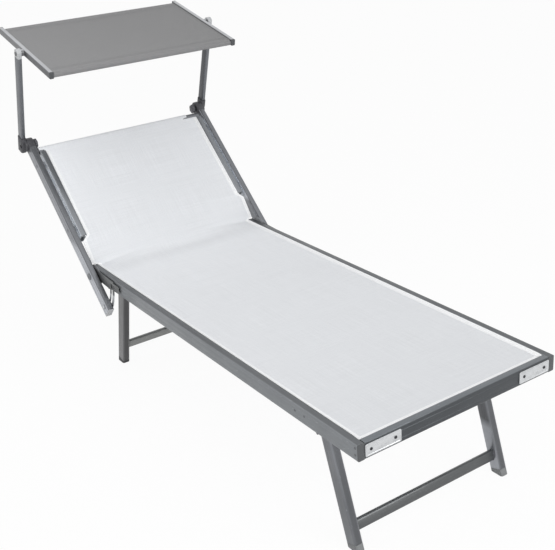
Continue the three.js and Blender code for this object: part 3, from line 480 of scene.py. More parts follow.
@dataclass(frozen=True)
class StampedPlate:
    """Bright rolled sheet: brushed along its length, a little wavy, with fingered and dulled patches and a
    painted highlight on its edges.

    A plate with a core is darker within that distance of the hinge, and below a level under it.
    """

    name: str
    colour: Colour
    roughness: float = 0.26
    wave: float = 0.0004
    core: float = 0.0
    core_tone: float = 0.3
    core_edge: float = 0.004
    core_floor: Spot = (0.036, 0.030)
    edge_reach: float = 0.001
    brush_depth: float = 0.000012

    def cored(self, board: MaterialBoard, colour: Socket, y: Socket, z: Socket) -> Socket:
        """Darkens the plate near the hinge.

        Args:
            board: The material's nodes.
            colour: The plate's colour.
            y: The point's Y.
            z: The point's height.

        Returns:
            The colour's socket.
        """
        hinge = PLACES.hinge
        away = [board.maths("POWER", board.unsigned(board.maths("SUBTRACT", part, place)), 2.0)
                for part, place in ((y, hinge.y), (z, hinge.z))]
        radius = board.maths("SQRT", board.plus(*away))
        below = board.spread(z, hinge.z - self.core_floor[0], hinge.z - self.core_floor[1], 1.0, 0.0)
        bright = board.times(board.spread(radius, self.core, self.core + self.core_edge), below)
        return board.scaled(colour, board.spread(bright, 0.0, 1.0, self.core_tone, 1.0))

    def build(self) -> Material:
        """Makes the material.

        Returns:
            The material.
        """
        board = MaterialBoard(self.name)
        point = board.point()
        x, y, z = board.parts(point)
        brushed = board.noise(board.vector(board.times(x, 0.02), y, z), 1900.0, 3, 0.6)
        dull = board.noise(point, 60.0, 3, 0.6)
        wavy = board.noise(point, 38.0, 1, 0.3)
        tone = board.mixed(board.spread(brushed, 0.35, 0.65), toned(self.colour, 0.88), self.colour)
        smudged = board.mixed(board.spread(dull, 0.45, 0.72, 0.0, 0.5), tone, toned(self.colour, 0.62))
        # Painted highlight on the plate's edges.
        edge_highlit = board.mixed(board.worn_edges(self.edge_reach, 3.0), smudged, toned(self.colour, 1.25))
        if self.core > 0:
            edge_highlit = self.cored(board, edge_highlit, y, z)
        rough = board.spread(dull, 0.3, 0.75, self.roughness - 0.05, self.roughness + 0.18)
        relief = board.bumped(brushed, self.brush_depth, board.bumped(wavy, self.wave))
        return board.finish(Base_Color=edge_highlit, Roughness=rough, Metallic=0.9, Normal=relief)


@dataclass(frozen=True)
class PlatedSteel:
    """Zinc-plated steel of studs and screws, also for rivets and weld seams, with a mottled film."""

    name: str
    colour: Colour
    roughness: float = 0.33
    film_depth: float = 0.00003

    def build(self) -> Material:
        """Makes the material.

        Returns:
            The material.
        """
        board = MaterialBoard(self.name)
        point = board.point()
        film = board.noise(point, 260.0, 4, 0.6)
        spots = board.noise(point, 900.0, 1)
        tone = board.mixed(board.spread(film, 0.35, 0.7), toned(self.colour, 0.8), self.colour)
        pitted = board.mixed(board.spread(spots, 0.66, 0.74, 0.0, 0.5), tone, toned(self.colour, 0.45))
        rough = board.spread(film, 0.3, 0.7, self.roughness - 0.06, self.roughness + 0.12)
        relief = board.bumped(film, self.film_depth)
        return board.finish(Base_Color=pitted, Roughness=rough, Metallic=0.95, Normal=relief)


@dataclass(frozen=True)
class MouldedPlastic:
    """Injection-moulded polymer with a fine eroded grain, sun-faded in patches, and paler on its edges by
    wear and a painted highlight.
    """

    name: str
    colour: Colour
    roughness: float = 0.5
    grain: float = 0.00004
    fade: float = 1.5
    edge_reach: float = 0.0009

    def build(self) -> Material:
        """Makes the material.

        Returns:
            The material.
        """
        board = MaterialBoard(self.name)
        point = board.point()
        grain = board.noise(point, 2600.0, 2, 0.6)
        patch = board.noise(point, 45.0, 4, 0.6)
        flow = board.noise(point, 160.0, 1, 0.4)
        # Edges paler by wear and a painted highlight; bare is their colour.
        edge = board.worn_edges(self.edge_reach, 2.4)
        faded, bare = toned(self.colour, self.fade), toned(self.colour, self.fade * 1.7)
        tone = board.mixed(board.spread(patch, 0.35, 0.75, 0.0, 0.7), self.colour, faded)
        speckled = board.mixed(board.spread(grain, 0.25, 0.75, 0.0, 0.4), tone, toned(self.colour, 0.75))
        rubbed_and_highlit = board.mixed(board.times(edge, 0.5, clamp=True), speckled, bare)
        rough = board.spread(patch, 0.3, 0.75, self.roughness - 0.06, self.roughness + 0.12)
        relief = board.bumped(grain, self.grain, board.bumped(flow, self.grain * 1.5))
        return board.finish(Base_Color=rubbed_and_highlit, Roughness=rough, Normal=relief)


@dataclass(frozen=True)
class WovenMesh:
    """Coated mesh cloth in plain weave, on the cloth's own coordinates, with painted light and shade along
    its length.
    """

    name: str
    yarn: Colour
    gap: Colour
    pitch: float = 0.0017
    roughness: float = 0.62
    relief: float = 0.00022
    slub: float = 0.12
    slub_long: float = 5.0
    slub_short: float = 620.0
    bleach: tuple[Spot, ...] = ((0.0, 1.0),)

    def yarns(self, board: MaterialBoard, across: Socket, along: Socket, dust: Socket) -> Socket:
        """The yarns' colour, with slubs, fading and dust.

        Args:
            board: The material's nodes.
            across: Distance across the cloth.
            along: Distance along the cloth.
            dust: Where dust lies in the weave.

        Returns:
            The colour's socket.
        """
        short, long = self.slub_short, self.slub_long
        warps = board.vector(board.times(across, short), board.times(along, long), 0.0)
        wefts = board.vector(board.times(across, long), board.times(along, short), 3.0)
        slubs = board.plus(*(board.noise(way, 1.0, 2, 0.6) for way in (warps, wefts)))
        dark, light = toned(self.yarn, 1 - self.slub), toned(self.yarn, 1 + self.slub * 0.35)
        slubbed = board.mixed(board.spread(slubs, 0.7, 1.3), dark, light)
        sun = board.noise(board.vector(across, along, 0.0), 5.0, 4, 0.6)
        faded = board.mixed(board.spread(sun, 0.35, 0.75, 0.0, 0.35), slubbed, toned(self.yarn, 0.93))
        return board.mixed(board.spread(dust, 0.45, 0.8, 0.0, 0.25), faded, toned(self.yarn, 0.88))

    def build(self) -> Material:
        """Makes the material.

        Returns:
            The material.
        """
        board = MaterialBoard(self.name)
        across, along, _ = board.parts(board.add("ShaderNodeUVMap", uv_map="cloth").outputs["UV"])
        u, v = (board.maths("DIVIDE", way, self.pitch) for way in (across, along))
        rise_u, rise_v = (board.unsigned(board.maths("SINE", board.times(way, math.pi))) for way in (u, v))
        checks = {"Vector": board.vector(u, v, 0.5), "Scale": 1.0}
        over = board.add("ShaderNodeTexChecker", checks).outputs["Fac"]
        under = board.maths("SUBTRACT", 1.0, over)
        height = board.plus(board.times(over, rise_u), board.times(under, rise_v))
        dust = board.noise(board.vector(across, along, 0.0), 90.0, 4, 0.65)
        woven = board.mixed(board.spread(height, 0.08, 0.5), self.gap, self.yarns(board, across, along, dust))
        # Painted light and shade along the cloth, from the shares at distances along it.
        share = self.bleach[0][1]
        for (start, low), (end, high) in zip(self.bleach, self.bleach[1:]):
            share = board.plus(share, board.spread(along, start, end, 0.0, high - low))
        rough = board.spread(dust, 0.3, 0.75, self.roughness - 0.07, self.roughness + 0.1)
        return board.finish(Base_Color=board.scaled(woven, share), Roughness=rough,
                            Normal=board.bumped(height, self.relief),
                            Specular_IOR_Level=0.35, Sheen_Weight=0.08, Sheen_Roughness=0.5)


@dataclass(frozen=True)
class TwistedThread:
    """Sewing thread: tight slanting plies along each stitch."""

    name: str
    colour: Colour
    ply_depth: float = 0.00008

    def build(self) -> Material:
        """Makes the material.

        Returns:
            The material.
        """
        board = MaterialBoard(self.name)
        point = board.point()
        slant = board.plus(*board.parts(point))
        ply = board.unsigned(board.maths("SINE", board.times(slant, 6500.0)))
        fuzz = board.noise(point, 5200.0, 2)
        tone = board.mixed(ply, toned(self.colour, 0.72), self.colour)
        frayed = board.mixed(board.spread(fuzz, 0.4, 0.8, 0.0, 0.4), tone, toned(self.colour, 1.15))
        rough = board.spread(fuzz, 0.2, 0.8, 0.7, 0.9)
        relief = board.bumped(ply, self.ply_depth)
        return board.finish(Base_Color=frayed, Roughness=rough, Normal=relief, Sheen_Weight=0.2)


class Finishes:
    """Every material of the lounger, made once."""

    INNER_RAIL_START = 0.132
    RAIL_SHADE = 0.142
    LEG_SOFT = 0.007
    # Painted light and shade along the pale cloth, as (distance from the front, share): lighter towards the
    # seat's rear and the back's top, where back and canopy shade the cloth, and darker at the front.
    BLEACH = ((0.0, 0.94), (0.5, 1.0), (0.9, 1.03), (1.26, 1.12), (1.38, 0.98), (1.5, 1.0), (1.85, 1.12))

    def __init__(self) -> None:
        """Builds the materials."""
        grey = linear(118, 120, 124)
        across, lengthways = (1.0, 0.0, 0.0), (0.0, 1.0, 0.0)
        back = direction(PLACES.back, 1, 0)
        front_leg, rear_leg = (direction(Matrix.Rotation(lean, 4, "X"), 0, -1)
                               for lean in (PLACES.FRONT_LEAN, PLACES.REAR_LEAN))
        # Height on the backrest's bars where their painted light changes, where the inner rails end.
        bar_change = PLACES.hinge.z + self.INNER_RAIL_START * math.sin(PLACES.back_angle)
        # One anodised aluminium in lit and shaded copies: each member's colour and face shares are painted
        # light and shade. Among them are the darker front rail, front crossbar and rear legs, the lighter
        # rear crossbar, painted reflections on the canopy rails' tops, painted light in the gaps beside the
        # backrest's bars, painted shade on the arms' inner faces and the front rail's painted shade on the
        # front legs.
        kinds = {
            "tube": ExtrudedAluminium("aluminium_tube", across, grey, top=0.8),
            "front_bar": ExtrudedAluminium("aluminium_front_bar", across, linear(97, 99, 100)),
            "rear_bar": ExtrudedAluminium("aluminium_rear_bar", across, linear(134, 135, 134)),
            "front": ExtrudedAluminium("aluminium_front", across, linear(79, 82, 85), top=2.3),
            "y": ExtrudedAluminium("aluminium_y", lengthways, linear(132, 135, 138), top=0.62),
            "bar": ExtrudedAluminium("aluminium_bar", back, linear(124, 126, 130), side=1.6, inside=3.6,
                                     corner=0.5, below=1.2, side_below=2.4, change=bar_change),
            "inner": ExtrudedAluminium("aluminium_inner", back, linear(134, 137, 141), side=4.2),
            "arm": ExtrudedAluminium("aluminium_arm", direction(PLACES.arm, 0, 1), grey, side=1.1,
                                     inside=0.53),
            "front_leg": ExtrudedAluminium("aluminium_front_leg", front_leg, grey, inside=0.6, corner=1.4,
                                           soft=self.LEG_SOFT, below=2.2, change=self.RAIL_SHADE),
            "rear_leg": ExtrudedAluminium("aluminium_rear_leg", rear_leg, linear(88, 88, 89), side=1.75,
                                          corner=1.7, soft=self.LEG_SOFT),
            "canopy": ExtrudedAluminium("aluminium_canopy", direction(PLACES.canopy, 1, 0),
                                        linear(112, 113, 115), top=3.15, roughness=0.36),
        }
        self.members = {key: kind.build() for key, kind in kinds.items()}
        self.plate = StampedPlate("bright_plate", linear(214, 216, 218)).build()
        self.quadrant = StampedPlate("quadrant_plate", linear(214, 216, 217), 0.36, wave=0.0001, core=0.104,
                                     core_tone=0.27).build()
        self.steel = PlatedSteel("plated_steel", linear(190, 192, 195)).build()
        self.dark_steel = PlatedSteel("blackened_steel", linear(70, 71, 74), 0.4).build()
        self.weld = PlatedSteel("weld_seam", linear(118, 120, 123), 0.45).build()
        self.black = MouldedPlastic("black_moulding", linear(68, 68, 72), 0.46).build()
        self.knob = MouldedPlastic("knob_moulding", linear(84, 84, 89), 0.46).build()
        self.dark = MouldedPlastic("dark_cap_moulding", linear(74, 76, 78), 0.5, 0.00003, 1.3).build()
        self.light = MouldedPlastic("light_tip_moulding", linear(188, 190, 192), 0.42, 0.00002, 1.05).build()
        self.nylon = MouldedPlastic("grey_nylon", linear(128, 130, 133), 0.45, 0.00003, 1.2).build()
        # Front and rear feet are one moulding in a lit and a shaded copy: the rear feet's darker colour is
        # painted shade.
        front_foot, rear_foot = linear(122, 124, 125), linear(68, 68, 70)
        self.feet = {
            End.FRONT: MouldedPlastic("front_foot_moulding", front_foot, 0.6, 0.00005, 1.2).build(),
            End.REAR: MouldedPlastic("rear_foot_moulding", rear_foot, 0.6, 0.00005, 1.2).build(),
        }
        pale, pale_gap = linear(239, 241, 244), linear(217, 220, 225)
        hem, hem_gap = linear(252, 253, 254), linear(244, 245, 247)
        shade, shade_gap = linear(143, 143, 144), linear(98, 98, 99)
        grey_hem, grey_gap = linear(142, 142, 143), linear(102, 102, 103)
        self.cloth = WovenMesh("pale_mesh", pale, pale_gap, bleach=self.BLEACH).build()
        self.hem = WovenMesh("pale_hem", hem, hem_gap, 0.0011, 0.55, 0.0001, 0.05).build()
        self.shade_cloth = WovenMesh("grey_mesh", shade, shade_gap, 0.0015).build()
        self.shade_hem = WovenMesh("grey_hem", grey_hem, grey_gap, 0.0011, 0.7, 0.00012).build()
        self.thread = TwistedThread("pale_thread", linear(240, 242, 244)).build()
        self.grey_thread = TwistedThread("grey_thread", linear(112, 112, 114)).build()


# Modelling


class Bench:
    """Modelling steps with Blender's own operators, one piece at a time."""

    SMOOTH = math.radians(42)
    MERGE = 0.000001
    SOLID_MERGE = 0.000002
    FLAT = math.radians(0.4)

    @staticmethod
    def clear() -> None:
        """Leaves edit mode and deselects everything."""
        if bpy.context.mode != "OBJECT":
            bpy.ops.object.mode_set(mode="OBJECT")
        bpy.ops.object.select_all(action="DESELECT")

    @staticmethod
    def take(piece: Piece) -> None:
        """Selects only this piece and makes it active.

        Args:
            piece: The piece.
        """
        Bench.clear()
        piece.select_set(True)
        bpy.context.view_layer.objects.active = piece

    @staticmethod
    def edit(piece: Piece, everything: bool = True) -> None:
        """Opens a piece in edit mode.

        Args:
            piece: The piece.
            everything: Whether all of it is selected, or nothing.
        """
        Bench.take(piece)
        bpy.ops.object.mode_set(mode="EDIT")
        bpy.ops.mesh.select_mode(type="FACE")
        bpy.ops.mesh.select_all(action="SELECT" if everything else "DESELECT")

    @staticmethod
    def started(name: str, primitive: Callable[..., object], **sizes: object) -> Piece:
        """Adds a primitive.

        Args:
            name: The piece's name.
            primitive: The operator that adds it.
            **sizes: The operator's settings.

        Returns:
            The piece.
        """
        Bench.clear()
        primitive(**sizes)
        bpy.context.object.name = name
        return bpy.context.object

    @staticmethod
    def pick(piece: Piece, kind: Pick, wanted: Callable[[Vector, Vector], bool]) -> None:
        """Selects what passes a test, in edit mode.

        Args:
            piece: The piece in edit mode.
            kind: Faces, edges or points.
            wanted: The test, given the middle and the normal, or the direction of an edge.
        """
        bpy.ops.mesh.select_mode(type=kind.value)
        bpy.ops.mesh.select_all(action="DESELECT")
        mesh = bmesh.from_edit_mesh(piece.data)
        if kind is Pick.FACES:
            found = [(face, face.calc_center_median(), face.normal) for face in mesh.faces]
        elif kind is Pick.EDGES:
            ends = [(edge, *(point.co for point in edge.verts)) for edge in mesh.edges]
            found = [(edge, (one + other) / 2, (other - one).normalized()) for edge, one, other in ends]
        else:
            found = [(point, point.co, point.normal) for point in mesh.verts]
        for part in [part for part, middle, way in found if wanted(middle, way)]:
            part.select_set(True)
        bmesh.update_edit_mesh(piece.data)

    @staticmethod
    def resize(x: float, y: float, z: float) -> None:
        """Resizes what is selected about the piece's own origin."""
        bpy.ops.transform.resize(value=(x, y, z), center_override=CENTRE)

    @staticmethod
    def extrude(move: Sequence[float], shares: Sequence[float] = (1, 1, 1)) -> None:
        """Extrudes what is selected by a move, and then resizes it by shares."""
        bpy.ops.mesh.extrude_region_move(TRANSFORM_OT_translate={"value": move})
        Bench.resize(*shares)

    @staticmethod
    def apply(piece: Piece, place: Matrix = STILL) -> Piece:
        """Puts a place into a piece's mesh.

        Args:
            piece: The active piece.
            place: Where it goes in the row frame.

        Returns:
            The piece.
        """
        piece.matrix_world = place @ piece.matrix_world
        bpy.ops.object.transform_apply(location=True, rotation=True, scale=True)
        return piece

    @staticmethod
    def close(piece: Piece, place: Matrix = STILL) -> Piece:
        """Leaves edit mode with the normals out, and puts the place into the mesh.

        Args:
            piece: The piece.
            place: Where it goes in the row frame.

        Returns:
            The piece.
        """
        bpy.ops.mesh.select_all(action="SELECT")
        bpy.ops.mesh.remove_doubles(threshold=Bench.MERGE)
        bpy.ops.mesh.normals_make_consistent(inside=False)
        bpy.ops.object.mode_set(mode="OBJECT")
        return Bench.apply(piece, place)

    @staticmethod
    def rounded(piece: Piece, edge: float, segments: int = 2, angle: float = 35.0) -> Piece:
        """Rounds the sharp edges with a bevel and shades the rest smooth.

        Args:
            piece: The piece.
            edge: The rounding in metres.
            segments: Steps of the rounding.
            angle: Edges sharper than this many degrees are rounded.

        Returns:
            The piece.
        """
        Bench.take(piece)
        bevel = piece.modifiers.new("edge", "BEVEL")
        bevel.width = edge
        bevel.segments = segments
        bevel.limit_method = "ANGLE"
        bevel.angle_limit = math.radians(angle)
        bpy.ops.object.modifier_apply(modifier=bevel.name)
        bpy.ops.object.shade_smooth_by_angle(angle=Bench.SMOOTH)
        return piece

    @staticmethod
    def smooth(piece: Piece) -> Piece:
        """Shades a piece smooth all over.

        Args:
            piece: The piece.

        Returns:
            The piece.
        """
        Bench.take(piece)
        bpy.ops.object.shade_smooth()
        return piece

    @staticmethod
    def cut(piece: Piece, cutter: Piece) -> None:
        """Cuts one piece out of another and removes the cutter.

        Args:
            piece: The piece that stays.
            cutter: The piece that is cut out of it.
        """
        Bench.take(piece)
        tool = piece.modifiers.new("cut", "BOOLEAN")
        tool.operation = "DIFFERENCE"
        tool.solver = "EXACT"
        tool.object = cutter
        bpy.ops.object.modifier_apply(modifier=tool.name)
        bpy.data.objects.remove(cutter)

    @staticmethod
    def joined(name: str, pieces: Sequence[Piece]) -> Piece:
        """Joins pieces into one object.

        Args:
            name: The object's name.
            pieces: The pieces.

        Returns:
            The object.
        """
        Bench.clear()
        for piece in pieces:
            piece.select_set(True)
        bpy.context.view_layer.objects.active = pieces[0]
        bpy.ops.object.join()
        pieces[0].name = name
        return pieces[0]

    @staticmethod
    def turned(name: str, profile: Sequence[Spot], place: Matrix = STILL, sides: int = 48) -> Piece:
        """A round piece: a disc extruded and resized step by step along its own Z.

        Args:
            name: The piece's name.
            profile: Its radius and height at each step.
            place: Where it goes, its Z being the axis.
            sides: How many sides the round has.

        Returns:
            The piece.
        """
        radius, height = profile[0]
        piece = Bench.started(name, bpy.ops.mesh.primitive_circle_add, vertices=sides, radius=radius,
                              fill_type="NGON", location=(0, 0, height))
        bpy.ops.object.transform_apply(location=True)
        Bench.edit(piece)
        for (r0, h0), (r1, h1) in zip(profile, profile[1:]):
            Bench.extrude((0, 0, h1 - h0), (r1 / r0, r1 / r0, 1))
        return Bench.close(piece, place)

    @staticmethod
    def block(name: str, size: Sequence[float], place: Matrix = STILL, corner: float = 0.0) -> Piece:
        """A box, with the four edges along Y rounded.

        Args:
            name: The piece's name.
            size: Its length in X, Y and Z.
            place: Where its middle goes.
            corner: The rounding of the four edges.

        Returns:
            The piece.
        """
        piece = Bench.started(name, bpy.ops.mesh.primitive_cube_add, size=1)
        Bench.edit(piece)
        Bench.resize(*size)
        if corner > 0:
            Bench.pick(piece, Pick.EDGES, lambda middle, run: abs(run.y) > 0.99)
            bpy.ops.mesh.bevel(offset=corner, segments=4, affect="EDGES")
        return Bench.close(piece, place)

    @staticmethod
    def twin(piece: Piece, name: str) -> Piece:
        """A copy of a piece with its own mesh.

        Args:
            piece: The piece.
            name: The copy's name.

        Returns:
            The copy.
        """
        twin = piece.copy()
        twin.data = piece.data.copy()
        twin.name = name
        twin.parent = None
        bpy.context.scene.collection.objects.link(twin)
        twin.matrix_world = STILL
        return twin

    @staticmethod
    def copied(piece: Piece, name: str, place: Matrix) -> Piece:
        """A copy with its own mesh, moved by a matrix that is put into the mesh.

        Args:
            piece: The piece.
            name: The copy's name.
            place: The matrix.

        Returns:
            The copy.
        """
        twin = Bench.twin(piece, name)
        Bench.take(twin)
        return Bench.apply(twin, place)

    @staticmethod
    def refined(node: str, edge: Edge) -> Piece:
        """A copy of a frame node with merged points, rounded edges and smooth rounds, in the node's place.

        Args:
            node: The node's name.
            edge: The rounding of its edges.

        Returns:
            The copy.
        """
        piece = Bench.twin(frame["nodes"][node], f"{node}_piece")
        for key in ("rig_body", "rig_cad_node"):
            if key in piece:
                del piece[key]
        Bench.edit(piece)
        bpy.ops.mesh.remove_doubles(threshold=Bench.SOLID_MERGE)
        bpy.ops.mesh.dissolve_limited(angle_limit=Bench.FLAT)
        bpy.ops.object.mode_set(mode="OBJECT")
        return Bench.rounded(piece, edge.value)


def dress(piece: Piece, material: Material, slot: Slot, body: Body | None, *nodes: str) -> Piece:
    """Gives a piece its material, puts it on its body and lets it stand for nodes.

    Args:
        piece: The piece.
        material: Its material.
        slot: The record's slot that it belongs to; not used.
        body: The body that it rides on, or None for cloth that is blended.
        *nodes: The frame nodes that it replaces.

    Returns:
        The piece.
    """
    piece.data.materials.clear()
    piece.data.materials.append(material)
    if body is not None:
        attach(piece, body.value)
    if nodes:
        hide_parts(*nodes)
    log.info("%s: %d faces", piece.name, len(piece.data.polygons))
    return piece


def facing_x(side: Side, x: float, y: float, z: float, lean: float = 0.0) -> Matrix:
    """A place at a distance x from the middle, turned about X by a lean, whose Z points outwards."""
    turn = Matrix.Rotation(lean, 4, "X") @ Matrix.Rotation(side.value * QUARTER, 4, "Y")
    return Matrix.Translation((side.value * x, y, z)) @ turn


@dataclass
class Fasteners:
    """Rivets, screws and weld seams, each fastener modelled once and copied."""

    finishes: Finishes
    rivet_radius: float = 0.0034
    rivet_height: float = 0.0013
    screw_profile: tuple[Spot, ...] = ((0.0042, 0), (0.0042, 0.0007), (0.0038, 0.0013), (0.0028, 0.0018),
                                       (0.0014, 0.002))
    recess: Triple = (0.0042, 0.0009, 0.0024)
    recess_height: float = 0.0022
    edge: float = 0.00012
    seam_depth: float = 0.014
    seam_steps: int = 102
    ripple_steps: int = 3
    ripple_shares: Spot = (1.02, 1.25)
    masters: dict[Fastener, Piece] = field(default_factory=dict)

    def rivet(self) -> Piece:
        """A blind rivet's domed head with the sunk end of its pin.

        Returns:
            The piece.
        """
        shares = ((1, 0), (1, 0.2), (0.93, 0.5), (0.72, 0.85), (0.45, 1), (0.36, 1), (0.33, 0.45))
        profile = [(self.rivet_radius * out, self.rivet_height * up) for out, up in shares]
        return Bench.turned("rivet_master", profile, sides=20)

    def screw(self) -> Piece:
        """A pan-head screw with a cross recess.

        Returns:
            The piece.
        """
        head = Bench.turned("screw_master", self.screw_profile, sides=32)
        for turn in (0, QUARTER):
            place = Matrix.Translation((0, 0, self.recess_height)) @ Matrix.Rotation(turn, 4, "Z")
            Bench.cut(head, Bench.block("recess", self.recess, place))
        return head

    def fix(self, kind: Fastener, name: str, places: Iterable[Matrix], body: Body) -> None:
        """Puts copies of a fastener in places, as one piece.

        Args:
            kind: The fastener.
            name: The piece's name.
            places: Where each copy goes.
            body: The body that they ride on.
        """
        kinds = {Fastener.RIVET: (self.rivet, self.finishes.weld),
                 Fastener.SCREW: (self.screw, self.finishes.dark_steel)}
        make, finish = kinds[kind]
        if kind not in self.masters:
            self.masters[kind] = Bench.rounded(make(), self.edge, 1)
        copies = [Bench.copied(self.masters[kind], f"{name}_{i}", place) for i, place in enumerate(places)]
        dress(Bench.joined(name, copies), finish, Slot.STEEL, body)

    def seam(self, name: str, place: Matrix, half: Spot, body: Body) -> None:
        """A weld seam round a tube's end, rippled as it was laid.

        Args:
            name: The piece's name.
            place: The tube's end, its Z along the tube.
            half: The seam's half width and half height.
            body: The body that it rides on.
        """
        piece = Bench.started(name, bpy.ops.mesh.primitive_torus_add, major_radius=1.0, minor_radius=0.1,
                              major_segments=self.seam_steps, minor_segments=8)
        Bench.edit(piece)
        Bench.resize(*half, self.seam_depth)
        step = math.tau / self.seam_steps
        Bench.pick(piece, Pick.POINTS, lambda p, _: round(
            math.atan2(p.y / half[1], p.x / half[0]) / step) % self.ripple_steps == 0)
        wider, deeper = self.ripple_shares
        Bench.resize(wider, wider, deeper)
        dress(Bench.smooth(Bench.close(piece, place)), self.finishes.weld, Slot.FRAME, body)

    def clear(self) -> None:
        """Removes the masters."""
        for made in self.masters.values():
            bpy.data.objects.remove(made)


@dataclass
class SubAssembly:
    """What each sub-assembly of the frame has, and the steps that they share."""

    finishes: Finishes
    fasteners: Fasteners
    body: Body

    def refine(self, node: str, edge: Edge, finish: Material, slot: Slot) -> None:
        """Puts a refined copy of a node in its place."""
        dress(Bench.refined(node, edge), finish, slot, self.body, node)

    def member(self, node: str, key: str, edge: Edge = Edge.EXTRUSION) -> None:
        """Puts a refined extrusion in its place, with the finish that the key names."""
        self.refine(node, edge, self.finishes.members[key], Slot.FRAME)

    def tube(self, node: str) -> None:
        """Puts a hollow round tube across the lounger in a node's place.

        Args:
            node: The frame node whose box it fills.
        """
        wall, depth = 0.0015, 0.03
        low, high, middle = box_of(node)
        piece = Bench.started(f"{node}_piece", bpy.ops.mesh.primitive_cylinder_add, vertices=40,
                              radius=(high.z - low.z) / 2, depth=high.x - low.x, end_fill_type="NGON")
        Bench.edit(piece, False)
        for way in (-1, 1):
            Bench.pick(piece, Pick.FACES, lambda c, n, way=way: n.z * way > 0.99)
            bpy.ops.mesh.inset(thickness=wall, depth=0)
            Bench.extrude((0, 0, -way * depth))
        Bench.close(piece, Matrix.Translation(middle) @ Matrix.Rotation(QUARTER, 4, "Y"))
        Bench.rounded(piece, Edge.TUBE.value, 1, 50)
        dress(piece, self.finishes.members["tube"], Slot.FRAME, self.body, node)

    def seams(self, node: str, half: Spot = (0.0104, 0.0104), sink: float = 0.0006, lean: float = 0.0,
              roll: float = 0.0) -> None:
        """Welds both ends of a tube or crossbar.

        Args:
            node: The frame node that is welded.
            half: The seams' half width and half height.
            sink: How far the seams lie inside the tube's end.
            lean: The tube's turn about X.
            roll: The seams' turn about their own axis.
        """
        _, high, middle = box_of(node)
        for side in Side:
            place = facing_x(side, high.x - sink, middle.y, middle.z, lean) @ Matrix.Rotation(roll, 4, "Z")
            self.fasteners.seam(f"{node}_weld_{side.word}", place, half, self.body)


